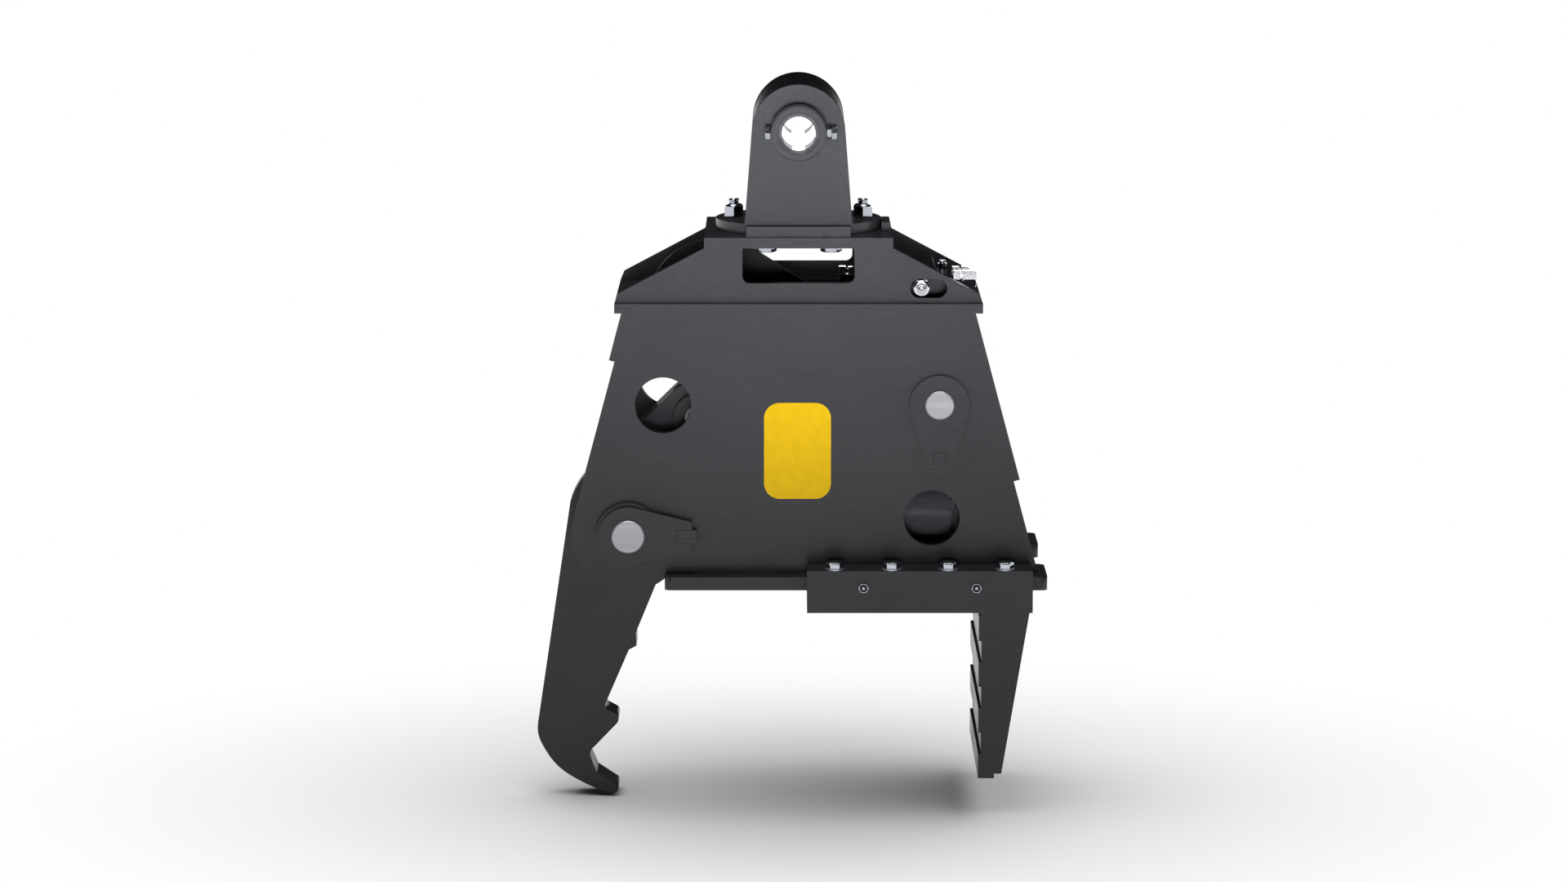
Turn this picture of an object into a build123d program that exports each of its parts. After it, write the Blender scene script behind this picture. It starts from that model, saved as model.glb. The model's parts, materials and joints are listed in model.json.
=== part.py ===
"""Railway tie grapple: a hung frame with a hooked claw and a sliding ridged jaw.

Millimetres. X runs to the right along the jaw opening, Y away from the front
side plate and Z up. The origin is the centre of the hanger bore, whose axis
runs along Y.
"""
from build123d import *
import math
import os

os.makedirs("parts", exist_ok=True)

# Shared plate stock and fits
plate_t = 20.0
pin_fit = 0.05
hole_clearance = 0.5
slide_clearance = 0.4

# Hanger
bore_d = 65.0
sleeve_wall = 7.5
ear_arch_r = 89.0
ear_outer_width = 300.0
ear_foot_half = 103.0
hanger_height = 180.0
collar_r = 53.5
collar_proud = 45.0
barrel_wall = 30.0
barrel_step = 1.0
collar_screw_d = 16.0
collar_screw_head_t = 10.0
collar_nut_t = 9.0

# Bolted hanger base and top plate
base_disc_margin = 35.0
base_width = 199.0
base_length_margin = 23.0
base_bolt_d = 24.0
base_bolt_ear_gap = 21.75
base_bolt_count = 6
base_nut_h = 25.0
base_bolt_tip = 10.0
base_head_h = 15.0
top_plate_margin = 20.0
top_plate_lip = 11.0
stop_bar_length = 104.0
stop_bar_width = 17.0
stop_bar_height = 17.0
stop_bar_y = -15.0

# Upper bracket between the top plate and the deck
bracket_height = 104.0
bracket_shoulder_drop = 87.0
bracket_corner_drop = 99.0
bracket_shoulder_in = 7.0
bracket_corner_in = 2.0
window_half = 107.0
window_depth = 67.0
window_corner_r = 13.5
slot_length = 71.0
slot_width = 36.5
slot_in = 103.0
slot_drop = 77.0
gusset_top_in = 170.0
gusset_top_out = 113.0
gusset_foot_left = 288.0
gusset_foot_right = 50.0
gusset_y = -42.0
gusset_hump_out = 14.0
gusset_hump_up = 26.0

# Deck
deck_t = 18.0
deck_half = 351.0
deck_lip = 23.0

# Body box
body_depth = 384.0
body_height = 503.0
body_half_top = 325.0
body_side_angle = 15.0
end_plate_t = 12.0
left_end_plate_h = 95.0
right_end_plate_h = 326.0
lobe_r = 110.0
access_hole_r = 54.0
left_hole_drop = 179.0
left_hole_inset = 114.0
right_hole_rise = 105.5
right_hole_inset = 176.0

# Jaw pivot
jaw_pin_d = 63.0
jaw_pin_rise = 73.0
jaw_boss_r = 65.0
jaw_boss_t = 10.0
pin_proud = 5.0

# Claw cylinder pivot on the frame
base_pin_d = 55.0
base_pin_drop = 177.0
base_pin_inset = 103.0

# Pin flags and their keepers
flag_r = 57.0
flag_t = 12.0
flag_arm_w = 56.0
flag_slot_gap = 0.5
pin_spacer_wall = 10.0
jaw_flag_reach = 122.0
jaw_keeper_length = 38.0
jaw_keeper_width = 25.0
base_flag_reach = 108.0
base_keeper_length = 25.0
base_keeper_width = 20.0
keeper_overhang = 9.0
keeper_proud = 13.0

# Bottom rails
rail_t = 25.5
rail_width = 142.0
rail_outer = 245.0
rail_left = 256.0
rail_right = 476.0
rail_corner_r = 12.0

# Sliding carriage
carriage_length = 430.0
carriage_end_gap = 30.0
guide_bar_width = 39.6
carriage_plate_t = 36.0
keeper_plate_t = 18.5
keeper_lap = 45.0
guide_bolt_d = 20.0
guide_bolt_count = 4
guide_bolt_pitch = 108.0
guide_bolt_inset = 19.0
guide_bolt_first = 53.0
guide_bolt_length = 62.0
guide_washer_t = 3.0
guide_washer_od = 37.0
guide_head_h = 12.5
nipple_first = 107.5
nipple_pitch = 215.0
nipple_af = 17.0
nipple_hex_h = 7.0
nipple_cup_depth = 4.0
nipple_cup_r = 6.0
nipple_ball_r = 3.2
nipple_ball_proud = 4.0

# Fixed jaw on the carriage
jaw_pad_width = 422.0
jaw_pad_t = 26.0
jaw_pad_inset = 68.5
jaw_height = 339.0
ridge_proud = 5.0
ridge_height = 48.0
ridge_pitch = 90.0
ridge_count = 4
web_t = 20.0
web_foot = 14.0
web_lift = 9.0

# Claw
claw_t = 84.0
claw_hub_r = 124.0
claw_sleeve_r = 58.0
claw_side_gap = 1.0
claw_bush_wall = 8.0
rod_pin_reach = 247.0
rod_pin_angle = 58.7
lever_end_r = 64.0
lever_elbow_x = 88.0
lever_elbow_drop = 28.0
open_pivot_clearance = 17.0
claw_back_angle = 161.6

# Claw cylinder
rod_pin_d = 42.0
clevis_r = 43.0
clevis_ear_t = 30.0
clevis_side_gap = 1.5
clevis_throat = 84.0
clevis_bridge_t = 24.0
cylinder_od = 110.0
cylinder_bore = 90.0
cylinder_rod_d = 56.0
clevis_gap = 1.33
piston_t = 34.0
gland_t = 40.0
gland_flange_t = 16.0
base_eye_r = 50.0
base_eye_w = 80.0
base_cap_t = 22.0
base_throat = 62.0
port_boss_r = 17.0
port_boss_h = 12.0
port_boss_sink = 6.0

# Slide cylinder
slide_axis_rise = 87.0
slide_od = 96.0
slide_bore = 76.0
slide_rod_d = 44.0
slide_stroke = 150.0
slide_pin_x = 335.0
slide_pin_d = 34.0
slide_eye_r = 32.0
slide_eye_w = 46.0
slide_lug_t = 22.0
slide_cap_t = 14.0
slide_gland_t = 34.0
anchor_x = 150.0
anchor_d = 44.0

# Hydraulic manifold and its adapters
manifold_in = 54.0
manifold_length = 187.0
manifold_front = 135.0
manifold_back = 35.0
manifold_h = 62.0
manifold_step_w = 35.0
manifold_step_h = 16.0
manifold_plug_af = 17.0
manifold_plug_h = 14.0
port_drop = 25.0
adapter_rear_y = -40.0
adapter_af = 30.0
adapter_swivel_af = 32.0
adapter_hex_l = 14.0
adapter_neck_r = 11.0
adapter_bore_r = 7.0
adapter_neck_l = 4.0
adapter_swivel_l = 14.0
long_adapter_l = 26.0
front_adapter_af = 28.0
front_adapter_hex_l = 30.0
front_adapter_proud = 42.0
front_adapter_nose_r = 9.5
front_adapter_bore_r = 4.0
front_adapter_off = 3.0

# Levels worked out from the sizes above
base_top = -hanger_height
base_bottom = base_top - plate_t
top_plate_bottom = base_bottom - plate_t
deck_top = top_plate_bottom - bracket_height
body_top = deck_top - deck_t
rail_top = body_top - body_height
rail_bottom = rail_top - rail_t
carriage_top = rail_bottom - slide_clearance
carriage_bottom = carriage_top - carriage_plate_t
keeper_bottom = rail_top + slide_clearance
keeper_top = keeper_bottom + keeper_plate_t
jaw_bottom = carriage_bottom - jaw_height

half_depth = body_depth / 2
inner_half = half_depth - plate_t
ear_outer = ear_outer_width / 2
ear_inner = ear_outer - plate_t
base_bolt_pcd = 2 * (ear_inner - base_bolt_ear_gap) / math.sin(math.radians(60))
base_disc_r = base_bolt_pcd / 2 + base_disc_margin
base_length = ear_outer_width + 2 * base_length_margin
top_plate_half = base_disc_r + top_plate_margin
top_plate_length = base_length + 2 * top_plate_lip
bracket_outer = top_plate_length / 2
deck_depth = top_plate_length + 2 * deck_lip
slot_x = deck_half - slot_in
manifold_right = deck_half - manifold_in
manifold_left = manifold_right - manifold_length
carriage_outer = rail_outer + slide_clearance + guide_bar_width
keeper_plate_inner = rail_outer - keeper_lap
slope = math.tan(math.radians(body_side_angle))


def side_x(z):
    """Half width of the body's side plates at height z."""
    return body_half_top + slope * (body_top - z)


jaw_z = rail_top + jaw_pin_rise
jaw_x = -(side_x(jaw_z) - lobe_r / math.cos(math.radians(body_side_angle)))
base_pin_z = body_top - base_pin_drop
base_pin_x = side_x(base_pin_z) - base_pin_inset
left_hole_z = body_top - left_hole_drop
left_hole_x = -(side_x(left_hole_z) - left_hole_inset)
right_hole_z = rail_top + right_hole_rise
right_hole_x = side_x(right_hole_z) - right_hole_inset
rod_pin_x = jaw_x + rod_pin_reach * math.cos(math.radians(rod_pin_angle))
rod_pin_z = jaw_z + rod_pin_reach * math.sin(math.radians(rod_pin_angle))
carriage_right = rail_right - carriage_end_gap
carriage_left = carriage_right - carriage_length
slide_z = rail_top + slide_axis_rise


def facing(y):
    """Plane square to Y at depth y, seen from the front, that extrudes to the front."""
    return Plane.XZ.offset(-y)


def save(part, name):
    """Label a finished piece and write its STEP file."""
    part.label = name
    export_step(part, f"parts/{name}.step")


# Hanger ears: arched plates standing on the bolted base
ear_tangent = math.atan2(ear_foot_half, hanger_height)
ear_reach = math.hypot(ear_foot_half, hanger_height)
ear_touch = ear_tangent + math.acos(ear_arch_r / ear_reach)
ear_touch_x = ear_arch_r * math.sin(ear_touch)
ear_touch_z = -ear_arch_r * math.cos(ear_touch)
sleeve_r = bore_d / 2 + sleeve_wall
for name, back in (("front_hanger_ear", -ear_inner), ("rear_hanger_ear", ear_outer)):
    with BuildPart() as ear:
        with BuildSketch(facing(back)):
            with BuildLine():
                Polyline(
                    (-ear_touch_x, ear_touch_z),
                    (-ear_foot_half, base_top),
                    (ear_foot_half, base_top),
                    (ear_touch_x, ear_touch_z),
                )
                ThreePointArc((ear_touch_x, ear_touch_z), (0, ear_arch_r), (-ear_touch_x, ear_touch_z))
            make_face()
            Circle(sleeve_r + pin_fit, mode=Mode.SUBTRACT)
        extrude(amount=plate_t)
    save(ear.part, name)

# Hanger barrel: the thick tube that joins the two ears
with BuildPart() as hanger_barrel:
    with BuildSketch(facing(ear_inner)):
        Circle(ear_arch_r - barrel_step)
        Circle(ear_arch_r - barrel_step - barrel_wall, mode=Mode.SUBTRACT)
    extrude(amount=2 * ear_inner)
save(hanger_barrel.part, "hanger_barrel")

# Polished sleeve through ears and collars: the bore that takes the hanger pin
sleeve_half = ear_outer + collar_proud
with BuildPart() as hanger_sleeve:
    with BuildSketch(facing(sleeve_half)):
        Circle(sleeve_r)
        Circle(bore_d / 2, mode=Mode.SUBTRACT)
    extrude(amount=2 * sleeve_half)
    chamfer(hanger_sleeve.edges().filter_by(GeomType.CIRCLE), length=1.5)
save(hanger_sleeve.part, "hanger_sleeve")

# Collars on the outer face of each ear, cross drilled for the locking screws
collar_screw_y = ear_outer + collar_proud / 2
for name, back, side in (("front_collar", -ear_outer, -1), ("rear_collar", sleeve_half, 1)):
    with BuildPart() as collar:
        with BuildSketch(facing(back)):
            Circle(collar_r)
            Circle(sleeve_r + pin_fit, mode=Mode.SUBTRACT)
        extrude(amount=collar_proud)
        outer_rims = collar.edges().filter_by(GeomType.CIRCLE).sort_by(SortBy.RADIUS)[-2:]
        chamfer(outer_rims.sort_by(Axis.Y)[0 if side < 0 else -1], length=3)
        with BuildSketch(Plane.YZ):
            with Locations((side * collar_screw_y, 0)):
                Circle(collar_screw_d / 2 + hole_clearance)
        extrude(amount=collar_r + 1, both=True, mode=Mode.SUBTRACT)
    save(collar.part, name)

# Locking screws: a hex head on the left, a head on a locknut on the right
screw_seat = sleeve_r + pin_fit
with BuildPart() as collar_screws:
    for y in (-collar_screw_y, collar_screw_y):
        for turn, head_start in ((1, collar_nut_t), (-1, 0.0)):
            with BuildSketch(Plane.YZ.offset(turn * screw_seat)):
                with Locations((y, 0)):
                    Circle(collar_screw_d / 2)
            extrude(amount=turn * (collar_r - screw_seat + head_start + collar_screw_head_t))
            with BuildSketch(Plane.YZ.offset(turn * (collar_r + head_start))):
                with Locations((y, 0)):
                    RegularPolygon(collar_screw_d * 0.75, 6, major_radius=False)
            extrude(amount=turn * collar_screw_head_t)
        with BuildSketch(Plane.YZ.offset(collar_r)):
            with Locations((y, 0)):
                RegularPolygon(collar_screw_d * 0.75, 6, major_radius=False, rotation=30)
        extrude(amount=collar_nut_t)
save(collar_screws.part, "collar_screws")

# Hanger base: a disc and a rectangle cut from one plate
with BuildPart() as hanger_base:
    with BuildSketch(Plane.XY.offset(base_bottom)):
        Circle(base_disc_r)
        Rectangle(base_width, base_length)
        with PolarLocations(base_bolt_pcd / 2, base_bolt_count):
            Circle(base_bolt_d / 2 + hole_clearance, mode=Mode.SUBTRACT)
    extrude(amount=plate_t)
save(hanger_base.part, "hanger_base")

# Top plate of the frame
with BuildPart() as top_plate:
    with BuildSketch(Plane.XY.offset(top_plate_bottom)):
        Rectangle(2 * top_plate_half, top_plate_length)
        with PolarLocations(base_bolt_pcd / 2, base_bolt_count):
            Circle(base_bolt_d / 2 + hole_clearance, mode=Mode.SUBTRACT)
    extrude(amount=plate_t)
save(top_plate.part, "top_plate")

# Base bolts, with their heads under the top plate
base_hex_r = base_bolt_d * 0.75
with BuildPart() as base_bolts:
    with BuildSketch(Plane.XY.offset(top_plate_bottom)):
        with PolarLocations(base_bolt_pcd / 2, base_bolt_count):
            RegularPolygon(base_hex_r, 6, major_radius=False)
    extrude(amount=-base_head_h)
    with BuildSketch(Plane.XY.offset(top_plate_bottom)):
        with PolarLocations(base_bolt_pcd / 2, base_bolt_count):
            Circle(base_bolt_d / 2)
    extrude(amount=2 * plate_t + base_nut_h + base_bolt_tip)
    tips = base_bolts.edges().filter_by(GeomType.CIRCLE).group_by(Axis.Z)[-1]
    chamfer(tips, length=2)
save(base_bolts.part, "base_bolts")

# Domed nuts above the hanger base, each cut from a hexagon and a turned cone
with BuildPart() as base_nuts:
    with BuildSketch(Plane.XY.offset(base_top)):
        with PolarLocations(base_bolt_pcd / 2, base_bolt_count):
            RegularPolygon(base_hex_r, 6, major_radius=False, rotation=30)
            Circle(base_bolt_d / 2 + pin_fit, mode=Mode.SUBTRACT)
    extrude(amount=base_nut_h)
    top_rims = base_nuts.edges().group_by(Axis.Z)[-1].filter_by(GeomType.LINE)
    chamfer(top_rims, length=4)
save(base_nuts.part, "base_nuts")

# Stop bar beside the base disc
with BuildPart() as stop_bar:
    with BuildSketch(Plane.XY.offset(base_bottom)):
        with Locations((base_disc_r + stop_bar_width / 2, stop_bar_y)):
            Rectangle(stop_bar_width, stop_bar_length)
    extrude(amount=stop_bar_height)
    chamfer(stop_bar.edges().group_by(Axis.Z)[-1], length=1.5)
save(stop_bar.part, "stop_bar")

# Upper bracket plates, with the window, and a hose slot in the front one
shoulder_x = deck_half - bracket_shoulder_in
shoulder_z = top_plate_bottom - bracket_shoulder_drop
corner_x = deck_half - bracket_corner_in
corner_z = top_plate_bottom - bracket_corner_drop
sill_z = top_plate_bottom - window_depth
round_in = window_corner_r * (1 - math.sqrt(0.5))
slot_z = top_plate_bottom - slot_drop
for name, back in (("front_bracket_plate", -bracket_outer + plate_t), ("rear_bracket_plate", bracket_outer)):
    with BuildPart() as bracket:
        with BuildSketch(facing(back)):
            with BuildLine():
                Polyline(
                    (-top_plate_half, top_plate_bottom),
                    (-shoulder_x, shoulder_z),
                    (-corner_x, corner_z),
                    (-deck_half, deck_top),
                    (deck_half, deck_top),
                    (corner_x, corner_z),
                    (shoulder_x, shoulder_z),
                    (top_plate_half, top_plate_bottom),
                    close=True,
                )
            make_face()
            with BuildLine():
                Line((-window_half, top_plate_bottom), (-window_half, sill_z + window_corner_r))
                ThreePointArc(
                    (-window_half, sill_z + window_corner_r),
                    (-window_half + round_in, sill_z + round_in),
                    (-window_half + window_corner_r, sill_z),
                )
                Line((-window_half + window_corner_r, sill_z), (window_half - window_corner_r, sill_z))
                ThreePointArc(
                    (window_half - window_corner_r, sill_z),
                    (window_half - round_in, sill_z + round_in),
                    (window_half, sill_z + window_corner_r),
                )
                Polyline(
                    (window_half, sill_z + window_corner_r),
                    (window_half, top_plate_bottom),
                    (-window_half, top_plate_bottom),
                )
            make_face(mode=Mode.SUBTRACT)
            if back < 0:
                with Locations((slot_x, slot_z)):
                    SlotOverall(slot_length, slot_width, mode=Mode.SUBTRACT)
        extrude(amount=plate_t)
    save(bracket.part, name)

# Centre gusset under the top plate, humped on the left
hump_x = -(gusset_foot_left + gusset_top_in) / 2 - gusset_hump_out
hump_z = (top_plate_bottom + deck_top) / 2 + gusset_hump_up
with BuildPart() as centre_gusset:
    with BuildSketch(facing(gusset_y + plate_t / 2)):
        with BuildLine():
            Polyline(
                (-gusset_top_in, top_plate_bottom),
                (-gusset_top_out, top_plate_bottom),
                (gusset_foot_right, deck_top),
                (-gusset_foot_left, deck_top),
            )
            ThreePointArc((-gusset_foot_left, deck_top), (hump_x, hump_z), (-gusset_top_in, top_plate_bottom))
        make_face()
    extrude(amount=plate_t)
save(centre_gusset.part, "centre_gusset")

# Deck plate between the bracket and the body
with BuildPart() as deck_plate:
    with BuildSketch(Plane.XY.offset(body_top)):
        Rectangle(2 * deck_half, deck_depth)
    extrude(amount=deck_t)
save(deck_plate.part, "deck_plate")

# Manifold block on the deck, with a stepped right end
with BuildPart() as manifold_block:
    with BuildSketch(Plane.XY.offset(deck_top)):
        with Locations(((manifold_left + manifold_right) / 2, (manifold_back - manifold_front) / 2)):
            Rectangle(manifold_right - manifold_left, manifold_back + manifold_front)
    extrude(amount=manifold_h)
    with BuildSketch(Plane.XY.offset(deck_top + manifold_h)):
        with Locations((manifold_right - manifold_step_w / 2, (manifold_back - manifold_front) / 2)):
            Rectangle(manifold_step_w, manifold_back + manifold_front)
    extrude(amount=-manifold_step_h, mode=Mode.SUBTRACT)
    chamfer(manifold_block.edges().filter_by(Axis.Y).group_by(Axis.Z)[-1], length=2)
save(manifold_block.part, "manifold_block")

port_z = deck_top + manifold_h - port_drop


# Adapters to the sides: a hex, a neck, a swivel hex and an open nose
def side_adapter(start_x, y, turn, swivel_l):
    """Adapter that points along X from start_x, to the right for turn 1."""
    swivel_start = adapter_hex_l + adapter_neck_l
    with BuildPart() as adapter:
        with BuildSketch(Plane.YZ.offset(start_x)):
            with Locations((y, port_z)):
                RegularPolygon(adapter_af / 2, 6, major_radius=False)
        extrude(amount=turn * adapter_hex_l)
        with BuildSketch(Plane.YZ.offset(start_x + turn * adapter_hex_l)):
            with Locations((y, port_z)):
                Circle(adapter_neck_r)
        extrude(amount=turn * adapter_neck_l)
        with BuildSketch(Plane.YZ.offset(start_x + turn * swivel_start)):
            with Locations((y, port_z)):
                RegularPolygon(adapter_swivel_af / 2, 6, major_radius=False)
        extrude(amount=turn * swivel_l)
        with BuildSketch(Plane.YZ.offset(start_x + turn * (swivel_start + swivel_l))):
            with Locations((y, port_z)):
                Circle(adapter_bore_r)
        extrude(amount=-turn * swivel_l, mode=Mode.SUBTRACT)
    return adapter.part


adapter_front_y = -manifold_front + adapter_af
save(side_adapter(manifold_right, adapter_rear_y, 1, adapter_swivel_l), "right_rear_adapter")
save(side_adapter(manifold_right, adapter_front_y, 1, long_adapter_l), "right_front_adapter")
save(side_adapter(manifold_left, adapter_rear_y, -1, adapter_swivel_l), "left_adapter")

# Front adapter: reaches from the manifold out through the slot
front_adapter_x = slot_x - (slot_length - slot_width) / 2 + front_adapter_off
front_adapter_spot = (front_adapter_x, slot_z + front_adapter_off)
front_nose = -bracket_outer - front_adapter_proud
front_hex_end = -bracket_outer - front_adapter_hex_l / 2
with BuildPart() as front_adapter:
    with BuildSketch(facing(-manifold_front)):
        with Locations(front_adapter_spot):
            Circle(adapter_neck_r)
    extrude(amount=-manifold_front - front_hex_end)
    with BuildSketch(facing(front_hex_end + front_adapter_hex_l)):
        with Locations(front_adapter_spot):
            RegularPolygon(front_adapter_af / 2, 6, major_radius=False)
    extrude(amount=front_adapter_hex_l)
    with BuildSketch(facing(front_hex_end)):
        with Locations(front_adapter_spot):
            Circle(front_adapter_nose_r)
    extrude(amount=front_hex_end - front_nose)
    with BuildSketch(facing(front_nose)):
        with Locations(front_adapter_spot):
            Circle(front_adapter_bore_r)
    extrude(amount=-front_adapter_hex_l, mode=Mode.SUBTRACT)
save(front_adapter.part, "front_adapter")

# Small plug on the step of the manifold: a hex with a round cap
step_z = deck_top + manifold_h - manifold_step_h
with BuildPart() as manifold_plug:
    with BuildSketch(Plane.XY.offset(step_z)):
        with Locations((manifold_right - manifold_step_w / 2, 0)):
            RegularPolygon(manifold_plug_af / 2, 6, major_radius=False)
    extrude(amount=0.6 * manifold_plug_h)
    with BuildSketch(Plane.XY.offset(step_z + 0.6 * manifold_plug_h)):
        with Locations((manifold_right - manifold_step_w / 2, 0)):
            Circle(0.38 * manifold_plug_af)
    extrude(amount=0.4 * manifold_plug_h)
save(manifold_plug.part, "manifold_plug")

# Body side plates, sloped at both sides, with a lobe round the jaw pin
lobe_mid = (jaw_x - lobe_r / 2, jaw_z - lobe_r * math.sqrt(0.75))
lobe_touch_x = jaw_x - lobe_r * math.cos(math.radians(body_side_angle))
lobe_touch_z = jaw_z + lobe_r * math.sin(math.radians(body_side_angle))
lobe_end_x = -rail_left
lobe_end_z = jaw_z - math.sqrt(lobe_r**2 - (lobe_end_x - jaw_x) ** 2)
for name, back in (("front_side_plate", -inner_half), ("rear_side_plate", half_depth)):
    with BuildPart() as side_plate:
        with BuildSketch(facing(back)):
            with BuildLine():
                Polyline(
                    (lobe_touch_x, lobe_touch_z),
                    (-body_half_top, body_top),
                    (body_half_top, body_top),
                    (side_x(rail_top), rail_top),
                    (lobe_end_x, rail_top),
                    (lobe_end_x, lobe_end_z),
                )
                ThreePointArc((lobe_end_x, lobe_end_z), lobe_mid, (lobe_touch_x, lobe_touch_z))
            make_face()
            with Locations((jaw_x, jaw_z)):
                Circle(jaw_pin_d / 2 + pin_fit, mode=Mode.SUBTRACT)
            with Locations((base_pin_x, base_pin_z)):
                Circle(base_pin_d / 2 + pin_fit, mode=Mode.SUBTRACT)
            with Locations((left_hole_x, left_hole_z), (right_hole_x, right_hole_z)):
                Circle(access_hole_r, mode=Mode.SUBTRACT)
        extrude(amount=plate_t)
    save(side_plate.part, name)

# End plates that close the sloped ends of the body
for name, side, drop in (("left_end_plate", -1, left_end_plate_h), ("right_end_plate", 1, right_end_plate_h)):
    slant = end_plate_t / math.cos(math.radians(body_side_angle))
    foot_z = body_top - drop
    foot_x = side_x(foot_z)
    square_x = end_plate_t * math.cos(math.radians(body_side_angle))
    square_z = end_plate_t * math.sin(math.radians(body_side_angle))
    with BuildPart() as end_plate:
        with BuildSketch(facing(half_depth)):
            with BuildLine():
                Polyline(
                    (side * body_half_top, body_top),
                    (side * (body_half_top + slant), body_top),
                    (side * (foot_x + square_x), foot_z + square_z),
                    (side * foot_x, foot_z),
                    close=True,
                )
            make_face()
        extrude(amount=body_depth)
    save(end_plate.part, name)

# Bottom rails: the strips that carry the side plates and guide the carriage
for name, centre in (("front_rail", -1), ("rear_rail", 1)):
    with BuildPart() as rail:
        with BuildSketch(Plane.XY.offset(rail_bottom)):
            with Locations(((rail_right - rail_left) / 2, centre * (rail_outer - rail_width / 2))):
                RectangleRounded(rail_right + rail_left, rail_width, rail_corner_r)
        extrude(amount=rail_t)
    save(rail.part, name)

# Jaw pin, and a boss round it on the outside of each side plate
with BuildPart() as jaw_pin:
    with BuildSketch(facing(half_depth + jaw_boss_t + pin_proud)):
        with Locations((jaw_x, jaw_z)):
            Circle(jaw_pin_d / 2)
    extrude(amount=body_depth + 2 * jaw_boss_t + flag_t + 2 * pin_proud)
    chamfer(jaw_pin.edges().filter_by(GeomType.CIRCLE), length=2)
save(jaw_pin.part, "jaw_pin")

with BuildPart() as jaw_bosses:
    for back in (-half_depth, half_depth + jaw_boss_t):
        with BuildSketch(facing(back)):
            with Locations((jaw_x, jaw_z)):
                Circle(jaw_boss_r)
                Circle(jaw_pin_d / 2 + pin_fit, mode=Mode.SUBTRACT)
        extrude(amount=jaw_boss_t)
    outer_rims = jaw_bosses.edges().filter_by(GeomType.CIRCLE).sort_by(SortBy.RADIUS)[-4:].sort_by(Axis.Y)
    chamfer([outer_rims[0], outer_rims[-1]], length=2)
save(jaw_bosses.part, "jaw_bosses")

# Claw cylinder base pin
with BuildPart() as base_pin:
    with BuildSketch(facing(half_depth + pin_proud)):
        with Locations((base_pin_x, base_pin_z)):
            Circle(base_pin_d / 2)
    extrude(amount=body_depth + flag_t + 2 * pin_proud)
    chamfer(base_pin.edges().filter_by(GeomType.CIRCLE), length=2)
save(base_pin.part, "base_pin")


# Pin flags: a disc round the pin that tapers into an arm, slotted for its keeper
def pin_flag(centre, pin_d, reach, angle, keeper, back):
    """Teardrop flag plate round a pin, with its arm along the angle given."""
    x, z = centre
    half_arm = flag_arm_w / 2
    spread = math.degrees(math.acos((flag_r - half_arm) / reach))
    along = (math.cos(math.radians(angle)), math.sin(math.radians(angle)))
    corners = []
    for turn in (1, -1):
        direction = math.radians(angle + turn * spread)
        leave = (x + flag_r * math.cos(direction), z + flag_r * math.sin(direction))
        side = (-turn * along[1] * half_arm, turn * along[0] * half_arm)
        corners.append((leave, (x + reach * along[0] + side[0], z + reach * along[1] + side[1])))
    slot_start = reach + keeper_overhang - keeper[0] - flag_slot_gap
    slot_mid = slot_start + keeper[0] / 2
    with BuildPart() as flag:
        with BuildSketch(facing(back)):
            with BuildLine():
                ThreePointArc(corners[0][0], (x - flag_r * along[0], z - flag_r * along[1]), corners[1][0])
                Polyline(corners[1][0], corners[1][1], corners[0][1], corners[0][0])
            make_face()
            with Locations((x, z)):
                Circle(pin_d / 2 + pin_fit, mode=Mode.SUBTRACT)
            with Locations(Location((x + slot_mid * along[0], z + slot_mid * along[1]), angle)):
                Rectangle(keeper[0], keeper[1] + 2 * flag_slot_gap, mode=Mode.SUBTRACT)
        extrude(amount=flag_t)
    return flag.part


jaw_keeper = (jaw_keeper_length, jaw_keeper_width)
base_keeper = (base_keeper_length, base_keeper_width)
jaw_flag_back = -half_depth - jaw_boss_t
base_centre = (base_pin_x, base_pin_z)
save(pin_flag((jaw_x, jaw_z), jaw_pin_d, jaw_flag_reach, 0, jaw_keeper, jaw_flag_back), "jaw_pin_flag")
save(pin_flag(base_centre, base_pin_d, base_flag_reach, -90, base_keeper, -half_depth), "base_pin_flag")

# Keepers welded to the side plate, in the slots of the flag arms
jaw_keeper_x = jaw_x + jaw_flag_reach + keeper_overhang - jaw_keeper_length / 2
base_keeper_z = base_pin_z - base_flag_reach - keeper_overhang + base_keeper_length / 2
with BuildPart() as flag_keepers:
    with BuildSketch(facing(-half_depth)):
        with Locations((jaw_keeper_x, jaw_z)):
            Rectangle(jaw_keeper_length, jaw_keeper_width)
    extrude(amount=jaw_boss_t + keeper_proud)
    with BuildSketch(facing(-half_depth)):
        with Locations((base_pin_x, base_keeper_z)):
            Rectangle(base_keeper_width, base_keeper_length)
    extrude(amount=keeper_proud)
save(flag_keepers.part, "flag_keepers")

# Spacer sleeves that centre the claw cylinder on its base pin
spacer_len = inner_half - base_eye_w / 2 - claw_side_gap
with BuildPart() as base_pin_spacers:
    for back in (inner_half, -base_eye_w / 2 - claw_side_gap):
        with BuildSketch(facing(back)):
            with Locations((base_pin_x, base_pin_z)):
                Circle(base_pin_d / 2 + pin_spacer_wall)
                Circle(base_pin_d / 2 + pin_fit, mode=Mode.SUBTRACT)
        extrude(amount=spacer_len)
save(base_pin_spacers.part, "base_pin_spacers")

# Cross bar between the side plates that anchors the slide cylinder's rod
with BuildPart() as anchor_bar:
    with BuildSketch(facing(inner_half)):
        with Locations((-anchor_x, slide_z)):
            Circle(anchor_d / 2)
    extrude(amount=2 * inner_half)
save(anchor_bar.part, "slide_anchor_bar")

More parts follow.
